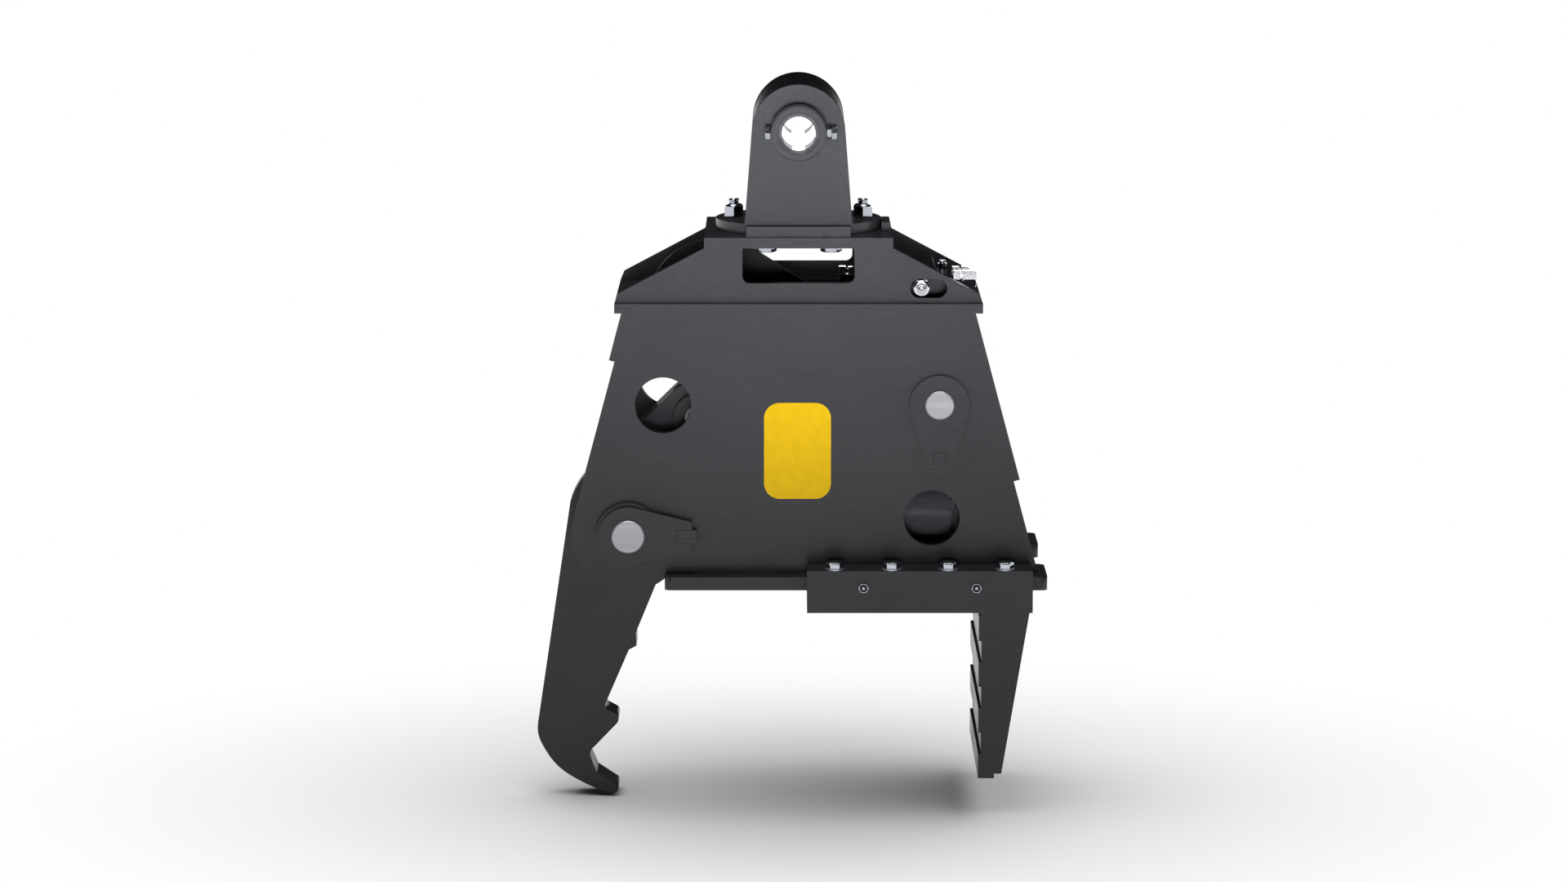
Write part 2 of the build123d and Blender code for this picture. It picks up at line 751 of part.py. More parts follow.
# Carriage plate under the rails
guide_bolt_xs = [carriage_left + guide_bolt_first + i * guide_bolt_pitch for i in range(guide_bolt_count)]
guide_bolt_y = carriage_outer - guide_bolt_inset
guide_bolt_spots = [(x, side * guide_bolt_y) for x in guide_bolt_xs for side in (-1, 1)]
carriage_mid = (carriage_left + carriage_right) / 2
guide_bolt_depth = guide_bolt_length - keeper_plate_t - rail_t - 2 * slide_clearance
with BuildPart() as carriage_plate:
    with BuildSketch(Plane.XY.offset(carriage_bottom)):
        with Locations((carriage_mid, 0)):
            Rectangle(carriage_length, 2 * carriage_outer)
    extrude(amount=carriage_plate_t)
    with BuildSketch(Plane.XY.offset(carriage_top)):
        with Locations(*guide_bolt_spots):
            Circle(guide_bolt_d / 2 + hole_clearance)
    extrude(amount=-guide_bolt_depth - 1, mode=Mode.SUBTRACT)
save(carriage_plate.part, "carriage_plate")

# Guide bars beside the rail edges, and keeper plates over the rails
nipple_xs = [carriage_left + nipple_first + i * nipple_pitch for i in range(2)]
nipple_z = (rail_top + rail_bottom) / 2
bar_inner = rail_outer + slide_clearance
for name, side in (("front_guide_bar", -1), ("rear_guide_bar", 1)):
    with BuildPart() as guide_bar:
        with BuildSketch(Plane.XY.offset(carriage_top)):
            with Locations((carriage_mid, side * (bar_inner + guide_bar_width / 2))):
                Rectangle(carriage_length, guide_bar_width)
            with Locations(*[(x, side * guide_bolt_y) for x in guide_bolt_xs]):
                Circle(guide_bolt_d / 2 + hole_clearance, mode=Mode.SUBTRACT)
        extrude(amount=keeper_bottom - carriage_top)
    save(guide_bar.part, name)

for name, side in (("front_guide_keeper", -1), ("rear_guide_keeper", 1)):
    keeper_depth = carriage_outer - keeper_plate_inner
    with BuildPart() as guide_keeper:
        with BuildSketch(Plane.XY.offset(keeper_bottom)):
            with Locations((carriage_mid, side * (keeper_plate_inner + keeper_depth / 2))):
                Rectangle(carriage_length, keeper_depth)
            with Locations(*[(x, side * guide_bolt_y) for x in guide_bolt_xs]):
                Circle(guide_bolt_d / 2 + hole_clearance, mode=Mode.SUBTRACT)
        extrude(amount=keeper_plate_t)
    save(guide_keeper.part, name)

# Guide bolts and washers
with BuildPart() as guide_washers:
    with BuildSketch(Plane.XY.offset(keeper_top)):
        with Locations(*guide_bolt_spots):
            Circle(guide_washer_od / 2)
            Circle(guide_bolt_d / 2 + hole_clearance, mode=Mode.SUBTRACT)
    extrude(amount=guide_washer_t)
save(guide_washers.part, "guide_washers")

with BuildPart() as guide_bolts:
    with BuildSketch(Plane.XY.offset(keeper_top + guide_washer_t)):
        with Locations(*guide_bolt_spots):
            RegularPolygon(guide_bolt_d * 0.75, 6, major_radius=False)
    extrude(amount=guide_head_h)
    head_rims = guide_bolts.edges().group_by(Axis.Z)[-1]
    chamfer(head_rims, length=1.2)
    with BuildSketch(Plane.XY.offset(keeper_top + guide_washer_t)):
        with Locations(*guide_bolt_spots):
            Circle(guide_bolt_d / 2)
    extrude(amount=-guide_bolt_length - guide_washer_t)
save(guide_bolts.part, "guide_bolts")

# Grease nipples in the guide bars, level with the rails
with BuildPart() as grease_nipples:
    for side in (-1, 1):
        outward = Plane(origin=(0, 0, 0), x_dir=(-side, 0, 0), z_dir=(0, side, 0))
        for x in nipple_xs:
            spot = (-side * x, nipple_z)
            with BuildSketch(outward.offset(carriage_outer)):
                with Locations(spot):
                    RegularPolygon(nipple_af / 2, 6, major_radius=False)
            extrude(amount=nipple_hex_h)
            with BuildSketch(outward.offset(carriage_outer + nipple_hex_h)):
                with Locations(spot):
                    Circle(nipple_cup_r)
            extrude(amount=-nipple_cup_depth, mode=Mode.SUBTRACT)
            with BuildSketch(outward.offset(carriage_outer + nipple_hex_h - nipple_cup_depth)):
                with Locations(spot):
                    Circle(nipple_ball_r)
            extrude(amount=nipple_cup_depth + nipple_ball_proud)
save(grease_nipples.part, "grease_nipples")

# Fixed jaw pad: a plate with square ridges across its gripping face
pad_right = carriage_right - jaw_pad_inset
pad_left = pad_right - jaw_pad_t
with BuildPart() as jaw_pad:
    with BuildSketch(facing(jaw_pad_width / 2)):
        with Locations(((pad_left + pad_right) / 2, (carriage_bottom + jaw_bottom) / 2)):
            Rectangle(jaw_pad_t, jaw_height)
        for i in range(ridge_count):
            with Locations((pad_left - ridge_proud / 2, jaw_bottom + ridge_height / 2 + i * ridge_pitch)):
                Rectangle(ridge_proud, ridge_height)
    extrude(amount=jaw_pad_width)
save(jaw_pad.part, "jaw_pad")

# Tapered webs behind the pad
web_inset = jaw_pad_width / 2
for name, back in (
    ("front_jaw_web", -web_inset + web_t),
    ("middle_jaw_web", web_t / 2),
    ("rear_jaw_web", web_inset),
):
    with BuildPart() as jaw_web:
        with BuildSketch(facing(back)):
            with BuildLine():
                Polyline(
                    (pad_right, carriage_bottom),
                    (carriage_right, carriage_bottom),
                    (pad_right + web_foot, jaw_bottom + web_lift),
                    (pad_right, jaw_bottom + web_lift),
                    close=True,
                )
            make_face()
        extrude(amount=web_t)
    save(jaw_web.part, name)

# Lugs on the carriage that carry the slide cylinder, passing between the rails
lug_inner = slide_eye_w / 2 + claw_side_gap
slide_lug_knee = slide_z - slide_od / 2 - 4
with BuildPart() as slide_lugs:
    for back in (-lug_inner, lug_inner + slide_lug_t):
        with BuildSketch(facing(back)):
            with BuildLine():
                Polyline(
                    (slide_pin_x - slide_eye_r, slide_z),
                    (slide_pin_x - slide_eye_r, slide_lug_knee),
                    (slide_pin_x - 2 * slide_eye_r, carriage_top),
                    (slide_pin_x + 2 * slide_eye_r, carriage_top),
                    (slide_pin_x + slide_eye_r, slide_lug_knee),
                    (slide_pin_x + slide_eye_r, slide_z),
                )
                ThreePointArc(
                    (slide_pin_x + slide_eye_r, slide_z),
                    (slide_pin_x, slide_z + slide_eye_r),
                    (slide_pin_x - slide_eye_r, slide_z),
                )
            make_face()
            with Locations((slide_pin_x, slide_z)):
                Circle(slide_pin_d / 2 + pin_fit, mode=Mode.SUBTRACT)
        extrude(amount=slide_lug_t)
save(slide_lugs.part, "slide_lugs")

with BuildPart() as slide_pin:
    with BuildSketch(facing(lug_inner + slide_lug_t + pin_proud)):
        with Locations((slide_pin_x, slide_z)):
            Circle(slide_pin_d / 2)
    extrude(amount=2 * (lug_inner + slide_lug_t + pin_proud))
    chamfer(slide_pin.edges().filter_by(GeomType.CIRCLE), length=1.5)
save(slide_pin.part, "slide_pin")

# Slide cylinder barrel: base eye on the lug pin, open towards the anchor bar
slide_axis = Plane(origin=(slide_pin_x, 0, slide_z), x_dir=(0, 1, 0), z_dir=(-1, 0, 0))
slide_throat = slide_eye_r + 6
slide_tube_len = slide_stroke + slide_eye_r + slide_gland_t
slide_face = slide_throat + slide_cap_t + slide_tube_len
with BuildPart() as slide_barrel:
    with BuildSketch(slide_axis.offset(slide_throat)):
        Circle(slide_od / 2)
    extrude(amount=slide_cap_t + slide_tube_len)
    with BuildSketch(slide_axis.offset(slide_throat + slide_cap_t)):
        Circle(slide_bore / 2)
    extrude(amount=slide_tube_len - slide_gland_t, mode=Mode.SUBTRACT)
    with BuildSketch(slide_axis.offset(slide_face)):
        Circle(slide_rod_d / 2 + pin_fit)
    extrude(amount=-slide_gland_t, mode=Mode.SUBTRACT)
    with BuildSketch(facing(slide_eye_w / 2)):
        with Locations((slide_pin_x, slide_z)):
            Circle(slide_eye_r)
        with Locations((slide_pin_x - slide_throat / 2, slide_z)):
            Rectangle(slide_throat, 1.6 * slide_eye_r)
    extrude(amount=slide_eye_w)
    with BuildSketch(facing(slide_eye_w / 2)):
        with Locations((slide_pin_x, slide_z)):
            Circle(slide_pin_d / 2 + pin_fit)
    extrude(amount=slide_eye_w, mode=Mode.SUBTRACT)
save(slide_barrel.part, "slide_barrel")

# Slide cylinder rod, with its eye round the anchor bar and its piston inside
slide_span = slide_pin_x + anchor_x
slide_piston_face = slide_face - slide_gland_t - 4
with BuildPart() as slide_rod:
    with BuildSketch(slide_axis.offset(slide_piston_face)):
        Circle(slide_bore / 2 - pin_fit)
    extrude(amount=-slide_eye_r * 0.8)
    with BuildSketch(slide_axis.offset(slide_piston_face)):
        Circle(slide_rod_d / 2)
    extrude(amount=slide_span - slide_piston_face)
    with BuildSketch(facing(slide_eye_w / 2)):
        with Locations((-anchor_x, slide_z)):
            Circle(slide_eye_r + 4)
    extrude(amount=slide_eye_w)
    with BuildSketch(facing(slide_eye_w / 2)):
        with Locations((-anchor_x, slide_z)):
            Circle(anchor_d / 2 + pin_fit)
    extrude(amount=slide_eye_w, mode=Mode.SUBTRACT)
save(slide_rod.part, "slide_rod")

# Claw blade: lever above the jaw pin, hooked claw below it
lever_angle = math.radians(rod_pin_angle)
lever_lean = math.asin((claw_hub_r - lever_end_r) / rod_pin_reach)
tangent = lever_angle + math.pi / 2 - lever_lean
lever_top = (rod_pin_x + lever_end_r * math.cos(tangent), rod_pin_z + lever_end_r * math.sin(tangent))
hub_top = (jaw_x + claw_hub_r * math.cos(tangent), jaw_z + claw_hub_r * math.sin(tangent))
elbow = (jaw_x + lever_elbow_x, jaw_z - lever_elbow_drop)


def claw_point(x, z):
    """Point of the claw's outline, given from the centre of the jaw pin."""
    return (jaw_x + x, jaw_z + z)


# The straight back edge leaves the hub's shoulder at back_angle
back_angle = math.radians(claw_back_angle)
back_top = (jaw_x + claw_hub_r * math.cos(back_angle), jaw_z + claw_hub_r * math.sin(back_angle))
shoulder_turn = (tangent + back_angle) / 2
shoulder_mid = (jaw_x + claw_hub_r * math.cos(shoulder_turn), jaw_z + claw_hub_r * math.sin(shoulder_turn))
elbow_gap = (elbow[0] - rod_pin_x, elbow[1] - rod_pin_z)
elbow_reach = math.hypot(*elbow_gap)
elbow_turn = math.atan2(elbow_gap[1], elbow_gap[0]) + math.acos(lever_end_r / elbow_reach)
lever_inner = (rod_pin_x + lever_end_r * math.cos(elbow_turn), rod_pin_z + lever_end_r * math.sin(elbow_turn))
lever_cap_turn = (tangent + elbow_turn) / 2
lever_cap = (
    rod_pin_x + lever_end_r * math.cos(lever_cap_turn),
    rod_pin_z + lever_end_r * math.sin(lever_cap_turn),
)
claw_bush_r = jaw_pin_d / 2 + claw_bush_wall
with BuildPart() as claw_blade:
    with BuildSketch(facing(claw_t / 2)):
        with BuildLine():
            Line(hub_top, lever_top)
            ThreePointArc(lever_top, lever_cap, lever_inner)
            Polyline(
                lever_inner,
                elbow,
                claw_point(12, -213),
                claw_point(9, -221),
                claw_point(10, -247),
                claw_point(-5, -255),
                claw_point(-50, -359),
            )
            ThreePointArc(claw_point(-50, -359), claw_point(-51, -370), claw_point(-45, -376))
            Line(claw_point(-45, -376), claw_point(-29, -385))
            ThreePointArc(claw_point(-29, -385), claw_point(-26, -395), claw_point(-30, -403))
            Line(claw_point(-30, -403), claw_point(-74, -449))
            ThreePointArc(claw_point(-74, -449), claw_point(-82, -462), claw_point(-79, -476))
            Line(claw_point(-79, -476), claw_point(-69, -500))
            Line(claw_point(-69, -500), claw_point(-30, -526))
            ThreePointArc(claw_point(-30, -526), claw_point(-28, -537), claw_point(-38, -541))
            Spline(
                claw_point(-38, -541),
                claw_point(-97, -520),
                claw_point(-148, -485),
                claw_point(-176, -444),
                claw_point(-184, -400),
                tangents=((-1, 0.12), (0.12, 1)),
            )
            Line(claw_point(-184, -400), back_top)
            ThreePointArc(back_top, shoulder_mid, hub_top)
        make_face()
        with Locations((jaw_x, jaw_z)):
            Circle(claw_bush_r + pin_fit, mode=Mode.SUBTRACT)
        with Locations((rod_pin_x, rod_pin_z)):
            Circle(rod_pin_d / 2 + open_pivot_clearance, mode=Mode.SUBTRACT)
    extrude(amount=claw_t)
save(claw_blade.part, "claw_blade")

# Claw hub rings, one on each side of the blade, out to the side plates
hub_ring_len = inner_half - claw_t / 2 - claw_side_gap
with BuildPart() as claw_hub_rings:
    for back in (-claw_t / 2, inner_half - claw_side_gap):
        with BuildSketch(facing(back)):
            with Locations((jaw_x, jaw_z)):
                Circle(claw_sleeve_r)
                Circle(claw_bush_r + pin_fit, mode=Mode.SUBTRACT)
        extrude(amount=hub_ring_len)
save(claw_hub_rings.part, "claw_hub_rings")

# Bronze bushes pressed into the hub, turning on the jaw pin
bush_len = inner_half - claw_side_gap - 2
with BuildPart() as claw_bushes:
    for back in (-2, inner_half - claw_side_gap):
        with BuildSketch(facing(back)):
            with Locations((jaw_x, jaw_z)):
                Circle(claw_bush_r)
                Circle(jaw_pin_d / 2 + pin_fit, mode=Mode.SUBTRACT)
        extrude(amount=bush_len)
save(claw_bushes.part, "claw_bushes")

# Claw cylinder: its axis runs from the base pin to the rod pin
cylinder_dx = rod_pin_x - base_pin_x
cylinder_dz = rod_pin_z - base_pin_z
cylinder_span = math.hypot(cylinder_dx, cylinder_dz)
cylinder_dir = (cylinder_dx / cylinder_span, 0, cylinder_dz / cylinder_span)
cylinder_axis = Plane(origin=(base_pin_x, 0, base_pin_z), x_dir=(0, 1, 0), z_dir=cylinder_dir)
cylinder_lean = math.degrees(math.atan2(cylinder_dz, cylinder_dx))
barrel_face = cylinder_span - clevis_throat - clevis_bridge_t - clevis_gap - gland_flange_t
with BuildPart() as cylinder_barrel:
    with BuildSketch(cylinder_axis.offset(base_throat)):
        Circle(cylinder_od / 2)
    extrude(amount=barrel_face - base_throat)
    with BuildSketch(cylinder_axis.offset(base_throat + base_cap_t)):
        Circle(cylinder_bore / 2)
    extrude(amount=barrel_face - base_throat - base_cap_t, mode=Mode.SUBTRACT)
    with BuildSketch(facing(base_eye_w / 2)):
        with Locations((base_pin_x, base_pin_z)):
            Circle(base_eye_r)
        with Locations(
            Location(
                (
                    base_pin_x + cylinder_dir[0] * base_throat / 2,
                    base_pin_z + cylinder_dir[2] * base_throat / 2,
                ),
                cylinder_lean,
            )
        ):
            Rectangle(base_throat, 1.5 * base_eye_r)
    extrude(amount=base_eye_w)
    with BuildSketch(facing(base_eye_w / 2)):
        with Locations((base_pin_x, base_pin_z)):
            Circle(base_pin_d / 2 + pin_fit)
    extrude(amount=base_eye_w, mode=Mode.SUBTRACT)
    for station in (base_throat + base_cap_t + port_boss_r, barrel_face - gland_t - port_boss_r):
        port_foot = (base_pin_x + cylinder_dir[0] * station, 0, base_pin_z + cylinder_dir[2] * station)
        port_plane = Plane(origin=port_foot, x_dir=(0, 1, 0), z_dir=(cylinder_dir[2], 0, -cylinder_dir[0]))
        with BuildSketch(port_plane.offset(cylinder_od / 2 - port_boss_sink)):
            Circle(port_boss_r)
        extrude(amount=port_boss_sink + port_boss_h)
save(cylinder_barrel.part, "cylinder_barrel")

# Gland: seals the rod end of the barrel, with a flange outside it
with BuildPart() as cylinder_gland:
    with BuildSketch(cylinder_axis.offset(barrel_face - gland_t)):
        Circle(cylinder_bore / 2 - pin_fit)
    extrude(amount=gland_t)
    with BuildSketch(cylinder_axis.offset(barrel_face)):
        Circle(cylinder_od / 2 + 3)
    extrude(amount=gland_flange_t)
    with BuildSketch(cylinder_axis.offset(barrel_face - gland_t)):
        Circle(cylinder_rod_d / 2 + pin_fit)
    extrude(amount=gland_t + gland_flange_t, mode=Mode.SUBTRACT)
save(cylinder_gland.part, "cylinder_gland")

# Rod with its piston, bottomed in the barrel while the claw is open
bridge_face = cylinder_span - clevis_throat - clevis_bridge_t
piston_start = base_throat + base_cap_t + 2
with BuildPart() as cylinder_rod:
    with BuildSketch(cylinder_axis.offset(piston_start)):
        Circle(cylinder_bore / 2 - pin_fit)
    extrude(amount=piston_t - 4)
    with BuildSketch(cylinder_axis.offset(piston_start)):
        Circle(cylinder_rod_d / 2)
    extrude(amount=bridge_face - piston_start)
save(cylinder_rod.part, "cylinder_rod")

# Rod clevis: two ears that straddle the lever and a bridge on the rod
ear_in = claw_t / 2 + clevis_side_gap
ear_out = ear_in + clevis_ear_t
bridge_mid = cylinder_span - clevis_throat - clevis_bridge_t / 2
with BuildPart() as rod_clevis:
    with BuildSketch(facing(ear_out)):
        with Locations((rod_pin_x, rod_pin_z)):
            Circle(clevis_r)
        arm_len = clevis_throat + clevis_bridge_t
        with Locations(
            Location(
                (
                    rod_pin_x - cylinder_dir[0] * arm_len / 2,
                    rod_pin_z - cylinder_dir[2] * arm_len / 2,
                ),
                cylinder_lean,
            )
        ):
            Rectangle(arm_len, 1.7 * clevis_r)
    extrude(amount=2 * ear_out)
    with BuildSketch(facing(ear_in)):
        with Locations((rod_pin_x, rod_pin_z)):
            Circle(clevis_r + 1)
        with Locations(
            Location(
                (
                    rod_pin_x - cylinder_dir[0] * clevis_throat / 2,
                    rod_pin_z - cylinder_dir[2] * clevis_throat / 2,
                ),
                cylinder_lean,
            )
        ):
            Rectangle(clevis_throat, 2 * clevis_r)
    extrude(amount=2 * ear_in, mode=Mode.SUBTRACT)
    with BuildSketch(facing(ear_out)):
        with Locations((rod_pin_x, rod_pin_z)):
            Circle(rod_pin_d / 2 + pin_fit)
    extrude(amount=2 * ear_out, mode=Mode.SUBTRACT)
save(rod_clevis.part, "rod_clevis")

with BuildPart() as rod_pin:
    with BuildSketch(facing(ear_out + pin_proud)):
        with Locations((rod_pin_x, rod_pin_z)):
            Circle(rod_pin_d / 2)
    extrude(amount=2 * (ear_out + pin_proud))
    chamfer(rod_pin.edges().filter_by(GeomType.CIRCLE), length=1.5)
save(rod_pin.part, "rod_pin")
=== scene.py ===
"""Railway tie grapple hung from its hanger bore, in a white studio.

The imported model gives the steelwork. This script dresses it, adds the turned and
hexagonal fittings in full detail, and sets the floor, the light and the camera.
Lengths are in millimetres and angles in degrees, unless a name or a comment says
otherwise.
"""

import json
import logging
import math
from dataclasses import dataclass
from enum import Enum
from typing import Sequence

import bpy
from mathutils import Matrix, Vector

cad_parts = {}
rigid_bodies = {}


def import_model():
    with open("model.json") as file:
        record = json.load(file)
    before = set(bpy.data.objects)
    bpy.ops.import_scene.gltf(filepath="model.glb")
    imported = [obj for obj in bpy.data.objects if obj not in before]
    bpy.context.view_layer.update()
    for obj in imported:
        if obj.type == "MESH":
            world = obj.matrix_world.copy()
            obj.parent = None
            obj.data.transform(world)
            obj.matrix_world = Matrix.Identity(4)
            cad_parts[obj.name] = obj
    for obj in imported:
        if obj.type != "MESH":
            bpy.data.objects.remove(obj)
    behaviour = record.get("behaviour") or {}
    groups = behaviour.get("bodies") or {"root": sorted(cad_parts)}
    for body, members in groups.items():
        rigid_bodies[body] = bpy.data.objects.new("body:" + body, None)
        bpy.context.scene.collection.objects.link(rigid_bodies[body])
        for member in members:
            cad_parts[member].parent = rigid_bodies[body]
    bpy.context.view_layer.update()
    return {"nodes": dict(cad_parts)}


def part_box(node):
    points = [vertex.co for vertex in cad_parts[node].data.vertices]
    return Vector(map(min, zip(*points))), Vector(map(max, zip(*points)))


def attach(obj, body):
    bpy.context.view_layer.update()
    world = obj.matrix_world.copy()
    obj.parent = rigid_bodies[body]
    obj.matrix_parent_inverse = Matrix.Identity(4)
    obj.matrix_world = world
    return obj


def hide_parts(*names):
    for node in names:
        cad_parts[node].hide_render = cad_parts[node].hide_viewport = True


# The start-up file's own objects
for left_over in list(bpy.data.objects):
    bpy.data.objects.remove(left_over)
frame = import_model()

MM = 0.001
log = logging.getLogger("grapple")

Span = tuple[float, float]
Ring = tuple[float, float]
Spot = tuple[float, float, float]


class Body(Enum):
    """The bodies that the new pieces ride on."""

    FRAME = "frame"
    CARRIAGE = "carriage"


class Facing(Enum):
    """The way that a fitting points away from its foot."""

    UP = (0.0, 0.0, 1.0)
    FRONT = (0.0, -1.0, 0.0)
    BACK = (0.0, 1.0, 0.0)
    LEFT = (-1.0, 0.0, 0.0)
    RIGHT = (1.0, 0.0, 0.0)


@dataclass(frozen=True)
class Room:
    """The box that a CAD node fills at rest."""

    left: float
    right: float
    front: float
    back: float
    foot: float
    top: float

    @property
    def middle(self) -> Spot:
        """Gives the middle of the box."""
        return ((self.left + self.right) / 2, (self.front + self.back) / 2, (self.foot + self.top) / 2)


def room(node: str) -> Room:
    """Measures a CAD node, to the micrometre.

    Args:
        node: Name of the node.

    Returns:
        The box that it fills.
    """
    low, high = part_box(node)
    left, front, foot = (round(v / MM, 3) for v in low)
    right, back, top = (round(v / MM, 3) for v in high)
    return Room(left, right, front, back, foot, top)


# Colour and shader nodes

# Most of a noise factor lies in this span
MOST_NOISE = {"From Min": 0.3, "From Max": 0.7}

# How far a finish strays below and above its named roughness
SMOOTHER, ROUGHER = 0.04, 0.05

# Depth of the finest reliefs
FINE_BUMP = 0.1

# How much of its strength each finer octave of noise keeps
OCTAVE_SHARE = 0.55


def linear(colour: str) -> tuple[float, float, float, float]:
    """Turns an sRGB hex colour into linear values.

    Args:
        colour: Six hex digits after a hash.

    Returns:
        Red, green, blue and an alpha of 1.
    """
    parts = [int(colour[i : i + 2], 16) / 255 for i in (1, 3, 5)]
    red, green, blue = [p / 12.92 if p <= 0.04045 else ((p + 0.055) / 1.055) ** 2.4 for p in parts]
    return (red, green, blue, 1.0)


def add_node(
    tree: bpy.types.NodeTree, kind: str, inputs: dict | None = None, **settings: object
) -> bpy.types.Node:
    """Adds one node with its settings and its links.

    Args:
        tree: Tree that takes the node.
        kind: Type name of the node.
        inputs: For each input's name or number, its value, the output socket that it
            takes, or the node whose first output it takes.
        settings: Properties of the node.

    Returns:
        The new node.
    """
    made = tree.nodes.new(kind)
    for name, value in settings.items():
        setattr(made, name, value)
    for name, value in (inputs or {}).items():
        source = value.outputs[0] if isinstance(value, bpy.types.Node) else value
        if isinstance(source, bpy.types.NodeSocket):
            tree.links.new(source, made.inputs[name])
        else:
            made.inputs[name].default_value = source
    return made


def empty_material(name: str) -> tuple[bpy.types.Material, bpy.types.NodeTree]:
    """Makes a material with an empty node tree.

    Args:
        name: Name of the real material and its finish.

    Returns:
        The material and its tree.
    """
    material = bpy.data.materials.new(name)
    material.use_nodes = True
    material.node_tree.nodes.clear()
    return material, material.node_tree


def grain(tree: bpy.types.NodeTree, grain_mm: Spot, detail: float = 2.0) -> bpy.types.NodeSocket:
    """Lays noise over a surface, whose grain has a real size along each axis.

    Args:
        tree: Tree that takes the nodes.
        grain_mm: Grain size along X, Y and Z.
        detail: Octaves of finer noise.

    Returns:
        The noise factor, about 0.5 on average.
    """
    place = add_node(tree, "ShaderNodeTexCoord")
    sized = add_node(
        tree,
        "ShaderNodeMapping",
        {"Vector": place.outputs["Object"], "Scale": [1 / (g * MM) for g in grain_mm]},
    )
    noise = add_node(
        tree,
        "ShaderNodeTexNoise",
        {"Vector": sized, "Scale": 1.0, "Detail": detail, "Roughness": OCTAVE_SHARE},
    )
    return noise.outputs["Fac"]


def two_tone(
    tree: bpy.types.NodeTree, pattern: object, low: object, high: object, span: Span = (0.0, 1.0)
) -> bpy.types.NodeSocket:
    """Colours a surface from one tone to another by a pattern.

    Args:
        tree: Tree that takes the nodes.
        pattern: Socket or node that gives the pattern.
        low: Tone where the pattern is low, as sRGB hex or a socket.
        high: Tone where it is high, as sRGB hex or a socket.
        span: The pattern's values at which the colour stops changing.

    Returns:
        The colour.
    """
    limits = {"From Min": span[0], "From Max": span[1]}
    share = add_node(tree, "ShaderNodeMapRange", {"Value": pattern, **limits})
    below, above = [linear(tone) if isinstance(tone, str) else tone for tone in (low, high)]
    # With colours, this node takes them at inputs 6 and 7 and gives the mix at output 2
    mix = add_node(tree, "ShaderNodeMix", {0: share, 6: below, 7: above}, data_type="RGBA")
    return mix.outputs[2]


def close_shader(
    tree: bpy.types.NodeTree,
    inputs: dict,
    relief: object = None,
    strength: float = 0.0,
    depth: float = FINE_BUMP,
) -> None:
    """Ends a material in one principled shader, with a fine relief if it has one.

    Args:
        tree: Tree that takes the nodes.
        inputs: The shader's inputs.
        relief: Socket or node that gives the relief's height, or nothing.
        strength: Strength of the relief.
        depth: Depth of the relief.
    """
    if relief is not None:
        heights = {"Height": relief, "Strength": strength, "Distance": depth * MM}
        inputs = {**inputs, "Normal": add_node(tree, "ShaderNodeBump", heights)}
    shader = add_node(tree, "ShaderNodeBsdfPrincipled", inputs)
    add_node(tree, "ShaderNodeOutputMaterial", {"Surface": shader})


@dataclass(frozen=True)
class Enamel:
    """Charcoal two-pack enamel, sprayed on rolled steel plate.

    It is semi-gloss, with the fine orange peel of the spray and, under it, the long
    rolling marks of the plate. A few dust nibs show as dark specks.
    """

    name: str = "charcoal_enamel_sprayed"
    colour: str = "#343538"
    deep: str = "#2F3033"
    nib: str = "#151517"
    roughness: float = 0.29
    ior: float = 1.42
    peel_mm: float = 2.2
    rolling_mm: Spot = (60.0, 60.0, 2.4)
    cloud_mm: Spot = (150.0, 150.0, 110.0)
    nib_mm: float = 3.2
    rolling_span: Span = (0.35, 0.65)
    nib_span: Span = (0.76, 0.80)
    nib_strength: float = 0.7
    rolling_share: float = 0.6
    bump: float = 0.05
    bump_mm: float = 0.3

    def make(self) -> bpy.types.Material:
        """Builds the material.

        Returns:
            The enamel.
        """
        material, tree = empty_material(self.name)
        peel = grain(tree, (self.peel_mm,) * 3, 1.0)
        rolling = grain(tree, self.rolling_mm, 3.0)
        cloud = grain(tree, self.cloud_mm, 2.0)
        nibs = add_node(
            tree,
            "ShaderNodeMapRange",
            {
                "Value": grain(tree, (self.nib_mm,) * 3, 0.0),
                "From Min": self.nib_span[0],
                "From Max": self.nib_span[1],
                "To Max": self.nib_strength,
            },
        )
        body = two_tone(tree, rolling, self.deep, self.colour, self.rolling_span)
        gloss = {"To Min": self.roughness - SMOOTHER, "To Max": self.roughness + ROUGHER}
        height = add_node(
            tree, "ShaderNodeMath", {0: rolling, 1: self.rolling_share, 2: peel}, operation="MULTIPLY_ADD"
        )
        close_shader(
            tree,
            {
                "Base Color": two_tone(tree, nibs, body, self.nib),
                "Roughness": add_node(tree, "ShaderNodeMapRange", {"Value": cloud, **MOST_NOISE, **gloss}),
                "IOR": self.ior,
            },
            height,
            self.bump,
            self.bump_mm,
        )
        return material


